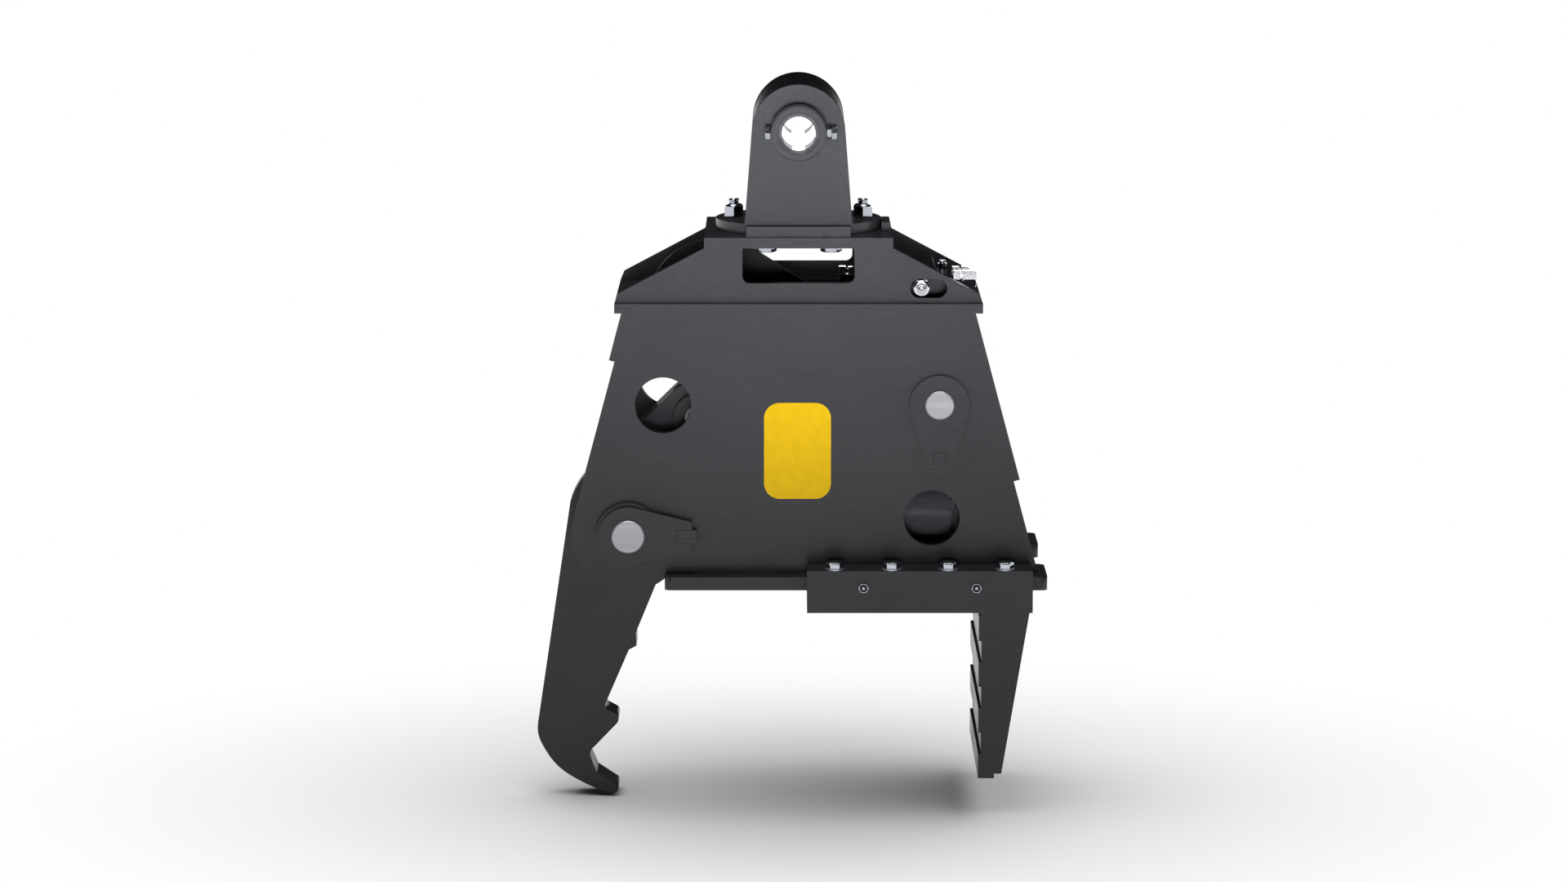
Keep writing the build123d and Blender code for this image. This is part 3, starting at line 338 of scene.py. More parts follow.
@dataclass(frozen=True)
class PlatedSteel:
    """Steel hardware with a bright zinc or nickel plating.

    The plating is thin and smooth, so the metal looks almost like chrome, with a
    slight haze that varies over a few millimetres.
    """

    name: str = "bright_zinc_plating"
    colour: str = "#C6C9D1"
    hazy: str = "#B6BAC4"
    roughness: float = 0.11
    haze_mm: float = 5.0
    grit_mm: float = 0.9
    bump: float = 0.05

    def make(self) -> bpy.types.Material:
        """Builds the material.

        Returns:
            The plating.
        """
        material, tree = empty_material(self.name)
        haze = grain(tree, (self.haze_mm,) * 3, 3.0)
        grit = grain(tree, (self.grit_mm,) * 3, 1.0)
        gloss = {"To Min": self.roughness - SMOOTHER, "To Max": self.roughness + ROUGHER}
        close_shader(
            tree,
            {
                "Base Color": two_tone(tree, haze, self.hazy, self.colour),
                "Roughness": add_node(tree, "ShaderNodeMapRange", {"Value": haze, **MOST_NOISE, **gloss}),
                "Metallic": 1.0,
            },
            grit,
            self.bump,
        )
        return material


@dataclass(frozen=True)
class TurnedPin:
    """Alloy steel pin, ground along its length and faced off at its ends.

    The faced end keeps straight, fine tool lines a fraction of a millimetre apart,
    drawn here about a millimetre apart so that they show.
    """

    name: str = "ground_pin_steel"
    colour: str = "#B4B5B9"
    dark: str = "#A2A4A8"
    line_mm: Spot = (90.0, 90.0, 1.1)
    band_mm: Spot = (200.0, 200.0, 9.0)
    tone_span: Span = (0.75, 1.25)
    roughness: Span = (0.38, 0.50)
    metallic: float = 0.75
    bump: float = 0.12

    def make(self) -> bpy.types.Material:
        """Builds the material.

        Returns:
            The pin steel.
        """
        material, tree = empty_material(self.name)
        lines = grain(tree, self.line_mm, 2.0)
        bands = grain(tree, self.band_mm, 1.0)
        both = add_node(tree, "ShaderNodeMath", {0: lines, 1: bands}, operation="ADD")
        gloss = {"To Min": self.roughness[0], "To Max": self.roughness[1]}
        close_shader(
            tree,
            {
                "Base Color": two_tone(tree, both, self.dark, self.colour, self.tone_span),
                "Roughness": add_node(tree, "ShaderNodeMapRange", {"Value": lines, **MOST_NOISE, **gloss}),
                "Metallic": self.metallic,
            },
            lines,
            self.bump,
        )
        return material


@dataclass(frozen=True)
class HardChrome:
    """Hard chrome on a ground rod: near mirror, with a trace of the grinding."""

    name: str = "hard_chrome_rod"
    colour: str = "#DADBDE"
    grinding_mm: Spot = (0.8, 30.0, 30.0)
    roughness: Span = (0.05, 0.12)

    def make(self) -> bpy.types.Material:
        """Builds the material.

        Returns:
            The chrome.
        """
        material, tree = empty_material(self.name)
        rings = grain(tree, self.grinding_mm, 2.0)
        gloss = {"To Min": self.roughness[0], "To Max": self.roughness[1]}
        close_shader(
            tree,
            {
                "Base Color": linear(self.colour),
                "Roughness": add_node(tree, "ShaderNodeMapRange", {"Value": rings, **MOST_NOISE, **gloss}),
                "Metallic": 1.0,
            },
        )
        return material


@dataclass(frozen=True)
class HonedSleeve:
    """Honed steel sleeve, with its end faces painted as the hanger is.

    The bore is like a mirror, so it shows the white room, except at two dull, slightly grey
    patches in each mouth. Their turn is in radians, to either side of the top.
    """

    name: str = "honed_bore_steel"
    colour: str = "#F0F1F4"
    patch_colour: str = "#E4E7EE"
    paint: Enamel = Enamel()
    roughness: float = 0.13
    specular: float = 0.5
    hatch_mm: Spot = (0.7, 14.0, 0.7)
    bump: float = 0.08
    end_face: Span = (0.5, 0.6)
    # Two dull, slightly grey patches in each mouth of the bore: their turn from the top, their depth, and
    # how far they dull the metal
    patch_turn: float = 2.3
    patch_half_turn: float = 0.45
    patch_depth: float = 160.0
    patch_half_depth: float = 40.0
    patch_cover: float = 0.88

    def dull_patches(self, tree: bpy.types.NodeTree) -> bpy.types.Node:
        """Marks the dull grey patches in both mouths of the bore.

        Args:
            tree: Tree that takes the nodes.

        Returns:
            A node that gives 1 in a patch and 0 elsewhere.
        """
        place = add_node(tree, "ShaderNodeTexCoord")
        spot = add_node(tree, "ShaderNodeSeparateXYZ", {0: place.outputs["Object"]})
        turn = add_node(
            tree, "ShaderNodeMath", {0: spot.outputs["X"], 1: spot.outputs["Z"]}, operation="ARCTAN2"
        )
        off_top = add_node(tree, "ShaderNodeMath", {0: turn}, operation="ABSOLUTE")
        deep = add_node(tree, "ShaderNodeMath", {0: spot.outputs["Y"]}, operation="ABSOLUTE")
        band = add_node(
            tree,
            "ShaderNodeMath",
            {0: off_top, 1: self.patch_turn, 2: self.patch_half_turn},
            operation="COMPARE",
        )
        reach = add_node(
            tree,
            "ShaderNodeMath",
            {0: deep, 1: self.patch_depth * MM, 2: self.patch_half_depth * MM},
            operation="COMPARE",
        )
        return add_node(tree, "ShaderNodeMath", {0: band, 1: reach}, operation="MULTIPLY")

    def make(self) -> bpy.types.Material:
        """Builds the material.

        Returns:
            The sleeve's steel, with painted ends.
        """
        material, tree = empty_material(self.name)
        hatch = grain(tree, self.hatch_mm, 2.0)
        surface = add_node(tree, "ShaderNodeNewGeometry")
        normal = add_node(tree, "ShaderNodeSeparateXYZ", {0: surface.outputs["True Normal"]})
        along = add_node(tree, "ShaderNodeMath", {0: normal.outputs["Y"]}, operation="ABSOLUTE")
        face = add_node(
            tree,
            "ShaderNodeMapRange",
            {"Value": along, "From Min": self.end_face[0], "From Max": self.end_face[1]},
        )
        # Dull, slightly grey patches in the bore's mouths, with less metal and no specular there
        dull_patches = self.dull_patches(tree)
        steel = two_tone(tree, dull_patches, self.colour, self.patch_colour)
        dulled = add_node(tree, "ShaderNodeMapRange", {"Value": dull_patches, "To Max": self.patch_cover})
        covered = add_node(tree, "ShaderNodeMath", {0: face, 1: dulled}, operation="MAXIMUM")
        close_shader(
            tree,
            {
                "Base Color": two_tone(tree, face, steel, self.paint.colour),
                "Roughness": add_node(
                    tree,
                    "ShaderNodeMapRange",
                    {"Value": face, "To Min": self.roughness, "To Max": self.paint.roughness},
                ),
                "Metallic": add_node(
                    tree, "ShaderNodeMapRange", {"Value": covered, "To Min": 1.0, "To Max": 0.0}
                ),
                "Specular IOR Level": add_node(
                    tree, "ShaderNodeMapRange", {"Value": dull_patches, "To Min": self.specular, "To Max": 0.0}
                ),
            },
            hatch,
            self.bump,
        )
        return material


@dataclass(frozen=True)
class BearingBronze:
    """Turned bearing bronze, brown with use at its rim."""

    name: str = "bearing_bronze"
    colour: str = "#B08A4E"
    brown: str = "#7E5F35"
    patina_mm: float = 6.0
    roughness: Span = (0.25, 0.42)

    def make(self) -> bpy.types.Material:
        """Builds the material.

        Returns:
            The bronze.
        """
        material, tree = empty_material(self.name)
        patina = grain(tree, (self.patina_mm,) * 3, 3.0)
        gloss = {"To Min": self.roughness[0], "To Max": self.roughness[1]}
        close_shader(
            tree,
            {
                "Base Color": two_tone(tree, patina, self.brown, self.colour),
                "Roughness": add_node(tree, "ShaderNodeMapRange", {"Value": patina, **MOST_NOISE, **gloss}),
                "Metallic": 1.0,
            },
        )
        return material


@dataclass(frozen=True)
class MilledBlock:
    """Plated steel manifold, milled all over in fine straight passes."""

    name: str = "milled_plated_steel"
    colour: str = "#55575C"
    dark: str = "#44464B"
    pass_mm: Spot = (1.4, 70.0, 70.0)
    roughness: Span = (0.20, 0.30)
    bump: float = 0.10

    def make(self) -> bpy.types.Material:
        """Builds the material.

        Returns:
            The milled steel.
        """
        material, tree = empty_material(self.name)
        passes = grain(tree, self.pass_mm, 2.0)
        gloss = {"To Min": self.roughness[0], "To Max": self.roughness[1]}
        close_shader(
            tree,
            {
                "Base Color": two_tone(tree, passes, self.dark, self.colour),
                "Roughness": add_node(tree, "ShaderNodeMapRange", {"Value": passes, **MOST_NOISE, **gloss}),
                "Metallic": 1.0,
            },
            passes,
            self.bump,
        )
        return material


@dataclass(frozen=True)
class MarkerVinyl:
    """Cut yellow marker film, stuck on the paint: satin and a little uneven."""

    name: str = "yellow_marker_film"
    colour: str = "#DAB108"
    deep: str = "#D0A804"
    cloud_mm: float = 18.0
    cloud_span: Span = (0.3, 0.7)
    grit_mm: float = 1.6
    roughness: float = 0.48
    specular: float = 0.25
    bump: float = 0.06

    def make(self) -> bpy.types.Material:
        """Builds the material.

        Returns:
            The film.
        """
        material, tree = empty_material(self.name)
        cloud = grain(tree, (self.cloud_mm,) * 3, 3.0)
        grit = grain(tree, (self.grit_mm,) * 3, 1.0)
        close_shader(
            tree,
            {
                "Base Color": two_tone(tree, cloud, self.deep, self.colour, self.cloud_span),
                "Roughness": self.roughness,
                "Specular IOR Level": self.specular,
            },
            grit,
            self.bump,
        )
        return material


ENAMEL = Enamel().make()
ZINC = PlatedSteel().make()
DULL_ZINC = PlatedSteel(name="dull_zinc_plating", colour="#D4D6DC", roughness=0.46).make()
NICKEL = PlatedSteel(
    name="bright_nickel_plating", colour="#FAFAFC", hazy="#ECEEF2", roughness=0.10
).make()
PIN_STEEL = TurnedPin().make()
CHROME = HardChrome().make()
SLEEVE = HonedSleeve().make()
BRONZE = BearingBronze().make()
BLOCK = MilledBlock().make()
MARKER = MarkerVinyl().make()

SLOT_FINISH = {
    "charcoal_paint": ENAMEL,
    "bright_zinc": ZINC,
    "pin_steel": PIN_STEEL,
    "hard_chrome": CHROME,
    "polished_sleeve": SLEEVE,
    "bush_bronze": BRONZE,
    "plated_block": BLOCK,
}


# Modelling, as by hand

# A hexagonal bar starts this much longer at each end than the piece that is turned from it
SPARE = 1.0

# The turned outline clears the corners of the hexagon by this much
CORNER_CLEARANCE = 0.2

# Edges sharper than this stay sharp when a piece is shaded smooth
SHADE_ANGLE = 32.0

# Points nearer than this become one
MERGE = 0.005

ROUND_SEGMENTS = 2
ROUND_ANGLE = 28.0


def start() -> None:
    """Leaves edit mode and deselects everything, so that the next operator acts on its own piece."""
    if bpy.context.object is not None and bpy.context.object.mode != "OBJECT":
        bpy.ops.object.mode_set(mode="OBJECT")
    bpy.ops.object.select_all(action="DESELECT")


def choose(piece: bpy.types.Object) -> None:
    """Selects one piece alone and makes it active.

    Args:
        piece: Piece that the next operator acts on.
    """
    start()
    piece.select_set(True)
    bpy.context.view_layer.objects.active = piece


def turned(name: str, rings: Sequence[Ring], sides: int = 48) -> bpy.types.Object:
    """Turns a solid along +Z from the origin, one extrusion a ring, as on a lathe.

    Args:
        name: Name of the piece.
        rings: Radius and height of each ring, from the foot to the last face.
        sides: Faces round the axis.

    Returns:
        The solid, closed at both ends.
    """
    start()
    radius, height = rings[0]
    bpy.ops.mesh.primitive_circle_add(
        vertices=sides, radius=radius * MM, fill_type="NGON", location=(0, 0, height * MM)
    )
    piece = bpy.context.object
    piece.name = name
    bpy.ops.object.transform_apply(location=True, rotation=True, scale=True)
    bpy.ops.object.mode_set(mode="EDIT")
    bpy.ops.mesh.select_all(action="SELECT")
    for next_radius, next_height in rings[1:]:
        bpy.ops.mesh.extrude_region_move(
            TRANSFORM_OT_translate={"value": (0, 0, (next_height - height) * MM)}
        )
        share = next_radius / radius
        bpy.ops.transform.resize(value=(share, share, 1), center_override=(0, 0, next_height * MM))
        radius, height = next_radius, next_height
    bpy.ops.mesh.select_all(action="SELECT")
    bpy.ops.mesh.normals_make_consistent(inside=False)
    bpy.ops.object.mode_set(mode="OBJECT")
    return piece


def prism(name: str, across_flats: float, foot: float, top: float, turn: float = 0.0) -> bpy.types.Object:
    """Makes a hexagonal bar along +Z.

    Args:
        name: Name of the piece.
        across_flats: Size across its flats.
        foot: Height of its lower face.
        top: Height of its upper face.
        turn: Turn about its axis; at 0 a corner points along +X, and at 30 a flat does.

    Returns:
        The bar.
    """
    start()
    bpy.ops.mesh.primitive_cylinder_add(
        vertices=6,
        radius=across_flats / math.sqrt(3) * MM,
        depth=(top - foot) * MM,
        location=(0, 0, (foot + top) / 2 * MM),
        rotation=(0, 0, math.radians(turn + 90)),
    )
    piece = bpy.context.object
    piece.name = name
    bpy.ops.object.transform_apply(location=True, rotation=True, scale=True)
    return piece


def combine(piece: bpy.types.Object, other: bpy.types.Object, operation: str) -> bpy.types.Object:
    """Applies a boolean between two solids and drops the second.

    Args:
        piece: Solid that stays.
        other: Solid that is used up.
        operation: INTERSECT, UNION or DIFFERENCE.

    Returns:
        The first solid, changed.
    """
    choose(piece)
    modifier = piece.modifiers.new("boolean", "BOOLEAN")
    modifier.operation = operation
    modifier.solver = "EXACT"
    modifier.object = other
    bpy.ops.object.modifier_apply(modifier=modifier.name)
    bpy.data.objects.remove(other)
    return piece


def soften(piece: bpy.types.Object, width: float) -> bpy.types.Object:
    """Rounds the sharp edges of a piece and shades it.

    Args:
        piece: Solid to finish.
        width: Width of the rounding.

    Returns:
        The same piece.
    """
    choose(piece)
    modifier = piece.modifiers.new("rounding", "BEVEL")
    modifier.width = width * MM
    modifier.segments = ROUND_SEGMENTS
    modifier.limit_method = "ANGLE"
    modifier.angle_limit = math.radians(ROUND_ANGLE)
    bpy.ops.object.modifier_apply(modifier=modifier.name)
    bpy.ops.object.shade_smooth_by_angle(angle=math.radians(SHADE_ANGLE))
    return piece


def smooth(piece: bpy.types.Object, angle: float = 34.0) -> bpy.types.Object:
    """Cleans a piece and shades it smooth except at its sharp edges.

    Args:
        piece: Solid to finish.
        angle: Smallest angle that stays sharp.

    Returns:
        The same piece.
    """
    choose(piece)
    bpy.ops.object.mode_set(mode="EDIT")
    bpy.ops.mesh.select_all(action="SELECT")
    bpy.ops.mesh.remove_doubles(threshold=MERGE * MM)
    bpy.ops.mesh.normals_make_consistent(inside=False)
    bpy.ops.object.mode_set(mode="OBJECT")
    bpy.ops.object.shade_smooth_by_angle(angle=math.radians(angle))
    return piece


def join(piece: bpy.types.Object, other: bpy.types.Object, angle: float) -> bpy.types.Object:
    """Makes two solids one piece, each still closed, and shades it.

    Args:
        piece: Solid that stays.
        other: Solid that goes into it.
        angle: Smallest angle that stays sharp.

    Returns:
        The joined piece.
    """
    choose(piece)
    other.select_set(True)
    bpy.ops.object.join()
    bpy.ops.object.shade_smooth_by_angle(angle=math.radians(angle))
    return piece


def seat(piece: bpy.types.Object, foot: Spot, facing: Facing = Facing.UP) -> bpy.types.Object:
    """Moves a piece, made along +Z at the origin, to its seat, in its mesh.

    Args:
        piece: Piece to place.
        foot: Where its foot goes.
        facing: The way that it points.

    Returns:
        The same piece.
    """
    choose(piece)
    upright = Vector(facing.value).to_track_quat("Z", "Y")
    piece.rotation_mode = "XYZ"
    piece.rotation_euler = upright.to_matrix().to_euler()
    piece.location = [v * MM for v in foot]
    bpy.ops.object.transform_apply(location=True, rotation=True, scale=True)
    return piece


def twin(piece: bpy.types.Object, name: str) -> bpy.types.Object:
    """Copies a piece that is still at the origin, with a mesh of its own.

    Args:
        piece: Piece to copy.
        name: Name of the copy.

    Returns:
        The copy.
    """
    copy = piece.copy()
    copy.data = piece.data.copy()
    copy.name = name
    bpy.context.scene.collection.objects.link(copy)
    return copy


def dress(
    piece: bpy.types.Object,
    finish: bpy.types.Material,
    body: Body,
    nodes: Sequence[str] = (),
) -> None:
    """Gives a finished piece its material and its body, and hides the CAD nodes that it stands for.

    Args:
        piece: Finished piece.
        finish: Its material.
        body: Body that it rides on.
        nodes: CAD nodes that it stands for.
    """
    start()
    piece.data.materials.clear()
    piece.data.materials.append(finish)
    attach(piece, body.value)
    if nodes:
        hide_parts(*nodes)
    log.info("%s rides on %s, %d faces", piece.name, body.value, len(piece.data.polygons))


def hex_piece(
    name: str,
    across_flats: float,
    foot: float,
    top: float,
    turn: float = 0.0,
    bore: float = 0.0,
    chamfer: float = 1.6,
) -> bpy.types.Object:
    """Makes a hexagon with turned chamfers at both ends, and a bore in its top if asked for.

    Args:
        name: Name of the piece.
        across_flats: Size across its flats.
        foot: Height of its lower face.
        top: Height of its upper face.
        turn: Turn about its axis, as a bar's.
        bore: Radius of the bore, or 0 for none.
        chamfer: Height of the chamfers.

    Returns:
        The hexagon, along +Z.
    """
    flat_inset, lip_width, lip_depth, bore_floor = 0.3, 1.6, 1.4, 2.0
    corner = across_flats / math.sqrt(3) + CORNER_CLEARANCE
    face = across_flats / 2 - flat_inset
    outline = [(face, foot), (corner, foot + chamfer), (corner, top - chamfer), (face, top)]
    if bore:
        outline += [(bore + lip_width, top), (bore, top - lip_depth), (bore, foot + bore_floor)]
    bar = prism(name, across_flats, foot - SPARE, top + SPARE, turn)
    return combine(bar, turned("outline", outline, sides=64), "INTERSECT")


# Sub-assemblies


@dataclass
class Steelwork:
    """The CAD nodes: their finishes, and a slight easing of the free plate edges.

    An eased node's edges stand free of any flush neighbour.
    """

    eased: tuple[str, ...] = (
        "front_hanger_ear",
        "rear_hanger_ear",
        "stop_bar",
        "claw_blade",
        "front_rail",
        "rear_rail",
        "rod_clevis",
        "slide_lugs",
    )
    merge: float = 0.02
    easing: float = 0.6
    segments: int = 2
    sharp_angle: float = 35.0

    def build(self) -> None:
        """Gives every CAD node its finish and eases the chosen ones."""
        for name, node in sorted(frame["nodes"].items()):
            old = node.data.materials[0].name.split(".")[0]
            node.material_slots[0].material = SLOT_FINISH[old]
            log.info("%s takes %s", name, node.material_slots[0].material.name)
            if name in self.eased:
                self.ease(node)

    def ease(self, node: bpy.types.Object) -> None:
        """Rounds a node's sharp edges a little.

        Args:
            node: The node's object.
        """
        weld = node.modifiers.new("weld", "WELD")
        weld.merge_threshold = self.merge * MM
        bevel = node.modifiers.new("edge", "BEVEL")
        bevel.width = self.easing * MM
        bevel.segments = self.segments
        bevel.limit_method = "ANGLE"
        bevel.angle_limit = math.radians(self.sharp_angle)
        bevel.harden_normals = True


@dataclass
class Hanger:
    """The cross screws that lock the hanger pin in its two collars."""

    collar_r: float = room("front_collar").right
    screw_y: float = room("rear_collar").middle[1]
    across_flats: float = 24.0
    head_h: float = 10.0
    nut_h: float = 9.0

    def build(self) -> None:
        """Builds a plain head for the left and a head on its locknut for the right."""
        head = smooth(hex_piece("head", self.across_flats, 0.0, self.head_h))
        nut = smooth(hex_piece("nut", self.across_flats, 0.0, self.nut_h, turn=30.0))
        for side, y in (("front", -self.screw_y), ("rear", self.screw_y)):
            seats = (
                (head, f"collar_screw_{side}_left", -self.collar_r, Facing.LEFT),
                (nut, f"collar_locknut_{side}", self.collar_r, Facing.RIGHT),
                (head, f"collar_screw_{side}_right", self.collar_r + self.nut_h, Facing.RIGHT),
            )
            for kind, name, x, facing in seats:
                fitted = seat(twin(kind, name), (x, y, 0), facing)
                dress(fitted, ZINC, Body.FRAME, ["collar_screws"])
        for spare in (head, nut):
            bpy.data.objects.remove(spare)


@dataclass
class BoltedBase:
    """The six bolts that hold the hanger base on the top plate.

    A nut's dome and mouth are given as steps inwards from its flats or its bore and down
    from its top, and a bolt's point as steps inwards from its radius and down from its end.
    """

    count: int = 6
    pitch_radius: float = 125.0
    top: float = room("hanger_base").top
    under: float = room("top_plate").foot
    bolt_d: float = 24.0
    across_flats: float = 36.0
    nut_h: float = 27.5
    nut_inset: float = 0.8
    nut_chamfer: float = 1.4
    nut_shoulder: float = 7.4
    dome: tuple[Ring, ...] = ((0.2, 5.9), (0.9, 4.2), (2.3, 2.6), (4.3, 1.4), (6.4, 0.5), (7.2, 0.0))
    mouth: tuple[Ring, ...] = ((1.9, 0.0), (2.2, 1.4))
    tip_h: float = 10.0
    point: tuple[Ring, ...] = (
        (3.2, 9.0),
        (3.0, 6.6),
        (2.0, 5.6),
        (1.9, 3.4),
        (2.3, 1.8),
        (3.4, 0.6),
        (5.4, 0.0),
    )
    shank_inset: float = 2.2
    shank_in_head: float = 2.0
    head_h: float = 15.0
    head_inset: float = 1.0
    head_chamfer: float = 2.2
    head_gap: float = 0.05
    head_rounding: float = 0.5

    def nut(self) -> bpy.types.Object:
        """Builds one nut with a domed top and an open mouth.

        Returns:
            The nut, with its foot at the origin.
        """
        corner = self.across_flats / math.sqrt(3) + CORNER_CLEARANCE
        flat, bore = self.across_flats / 2, self.bolt_d / 2
        outline = [
            (flat - self.nut_inset, 0.0),
            (corner, self.nut_chamfer),
            (corner, self.nut_h - self.nut_shoulder),
        ]
        outline += [(flat - inwards, self.nut_h - down) for inwards, down in self.dome]
        outline += [(bore - inwards, self.nut_h - down) for inwards, down in self.mouth]
        bar = prism("nut", self.across_flats, -SPARE, self.nut_h + SPARE, turn=30.0)
        return smooth(combine(bar, turned("outline", outline, sides=72), "INTERSECT"))

    def bolt(self) -> bpy.types.Object:
        """Builds one bolt: hexagonal head below, shank in the grip, and a rounded point.

        Returns:
            The bolt, with the head's bearing face at the origin.
        """
        radius = self.bolt_d / 2
        end = self.top - self.under + self.nut_h + self.tip_h
        rings = [(radius - self.shank_inset, -self.shank_in_head)]
        rings += [(radius - inwards, end - down) for inwards, down in self.point]
        shank = turned("shank", rings, sides=40)
        corner = self.across_flats / math.sqrt(3) + CORNER_CLEARANCE
        outline = [
            (self.across_flats / 2 - self.head_inset, -self.head_h),
            (corner, -self.head_h + self.head_chamfer),
            (corner, 0.0),
        ]
        bar = prism("head", self.across_flats, -self.head_h - SPARE, -self.head_gap)
        head = soften(combine(bar, turned("outline", outline, sides=72), "INTERSECT"), self.head_rounding)
        return join(head, shank, SHADE_ANGLE)

    def build(self) -> None:
        """Copies the nut and the bolt round the pitch circle."""
        nut, bolt = self.nut(), self.bolt()
        for place in range(self.count):
            angle = math.radians(360 / self.count * place)
            x, y = self.pitch_radius * math.cos(angle), self.pitch_radius * math.sin(angle)
            set_nut = seat(twin(nut, f"base_nut_{place + 1}"), (x, y, self.top))
            dress(set_nut, ZINC, Body.FRAME, ["base_nuts"])
            set_bolt = seat(twin(bolt, f"base_bolt_{place + 1}"), (x, y, self.under))
            dress(set_bolt, ZINC, Body.FRAME, ["base_bolts"])
        for spare in (nut, bolt):
            bpy.data.objects.remove(spare)


@dataclass
class Hydraulics:
    """The adapters and the plug of the manifold.

    The front adapter's flange and collar are given as radius and height from the foot of
    its hexagon, and its nose as radius and height from its end.
    """

    block: Room = room("manifold_block")
    port_z: float = room("right_rear_adapter").middle[2]
    rear_y: float = room("right_rear_adapter").middle[1]
    front_y: float = room("right_front_adapter").middle[1]
    port_af: float = 30.0
    port_l: float = 14.0
    neck_l: float = 4.0
    neck_r: float = 11.0
    neck_overlap: float = 1.0
    swivel_af: float = 32.0
    short_swivel: float = 14.0
    long_swivel: float = 26.0
    swivel_bore: float = 7.0
    swivel_chamfer: float = 2.4

    slot_adapter: Room = room("front_adapter")
    hex_af: float = 28.0
    hex_l: float = 30.0
    hex_to_end: float = 57.0
    flange: tuple[Ring, ...] = (
        (neck_r, -12.0),
        (15.2, -11.0),
        (15.8, -9.5),
        (15.8, -5.5),
        (15.2, -4.0),
        (neck_r, -3.0),
    )
    collar: tuple[Ring, ...] = (
        (neck_r, 31.0),
        (14.6, 31.4),
        (15.6, 32.4),
        (15.9, 34.0),
        (15.6, 35.8),
        (14.8, 37.2),
        (13.6, 38.0),
        (12.4, 37.2),
        (11.6, 35.6),
        (9.8, 34.6),
        (9.2, 36.0),
    )
    nose: tuple[Ring, ...] = (
        (9.2, -9.5),
        (8.9, -8.0),
        (8.2, -6.9),
        (7.4, -6.6),
        (6.6, -7.4),
        (6.2, -8.6),
        (6.0, -2.6),
        (5.6, -1.2),
        (4.8, -0.3),
        (4.0, 0.0),
        (3.3, -0.6),
        (2.8, -2.0),
        (2.8, -14.0),
    )

    plug_room: Room = room("manifold_plug")
    plug_af: float = 17.0
    plug_hex_h: float = 8.4
    plug_chamfer: float = 1.0
    plug_cap: tuple[Ring, ...] = ((6.4, 7.4), (6.4, 12.2), (5.8, 13.4), (4.6, 14.0))

    def side_adapter(self, name: str, swivel_l: float) -> bpy.types.Object:
        """Builds an adapter: port hexagon, neck and an open swivel nut.

        Args:
            name: Name of the piece.
            swivel_l: Length of its swivel nut.

        Returns:
            The adapter, along +Z.
        """
        body = hex_piece(name, self.port_af, 0.0, self.port_l)
        neck_end = self.port_l + self.neck_l
        neck = [
            (self.neck_r, self.port_l - self.neck_overlap),
            (self.neck_r, neck_end + self.neck_overlap),
        ]
        swivel = hex_piece(
            "swivel",
            self.swivel_af,
            neck_end,
            neck_end + swivel_l,
            bore=self.swivel_bore,
            chamfer=self.swivel_chamfer,
        )
        necked = combine(body, turned("neck", neck, sides=40), "UNION")
        return smooth(combine(necked, swivel, "UNION"))

    def front_adapter(self) -> bpy.types.Object:
        """Builds the adapter in the slot: flange, hexagon, collar and a stepped nose.

        Returns:
            The adapter, along +Z, with its foot on the manifold.
        """
        end = self.block.front - self.slot_adapter.front
        hex_foot = end - self.hex_to_end
        body = hex_piece("front_adapter_body", self.hex_af, hex_foot, hex_foot + self.hex_l)
        shaft = [(self.neck_r, 0.0)]
        shaft += [(radius, hex_foot + height) for radius, height in self.flange + self.collar]
        shaft += [(radius, end + height) for radius, height in self.nose]
        return smooth(combine(body, turned("shaft", shaft), "UNION"))

    def plug(self) -> bpy.types.Object:
        """Builds the plug: a hexagon with a round cap that has a rounded rim.

        Returns:
            The plug, along +Z.
        """
        body = hex_piece(
            "manifold_plug_body", self.plug_af, 0.0, self.plug_hex_h, turn=30.0, chamfer=self.plug_chamfer
        )
        return smooth(combine(body, turned("cap", self.plug_cap, sides=40), "UNION"))

    def build(self) -> None:
        """Builds the fittings and puts them in their ports."""
        short = self.side_adapter("short", self.short_swivel)
        long = self.side_adapter("long", self.long_swivel)
        seats = (
            (short, "right_rear_adapter", self.block.right, self.rear_y, Facing.RIGHT),
            (long, "right_front_adapter", self.block.right, self.front_y, Facing.RIGHT),
            (short, "left_adapter", self.block.left, self.rear_y, Facing.LEFT),
        )
        for kind, node, x, y, facing in seats:
            fitted = seat(twin(kind, f"{node}_body"), (x, y, self.port_z), facing)
            dress(fitted, NICKEL, Body.FRAME, [node])
        for spare in (short, long):
            bpy.data.objects.remove(spare)
        x, _, z = self.slot_adapter.middle
        front = seat(self.front_adapter(), (x, self.block.front, z), Facing.FRONT)
        dress(front, NICKEL, Body.FRAME, ["front_adapter"])
        x, y, _ = self.plug_room.middle
        plug = seat(self.plug(), (x, y, self.plug_room.foot))
        dress(plug, ZINC, Body.FRAME, ["manifold_plug"])


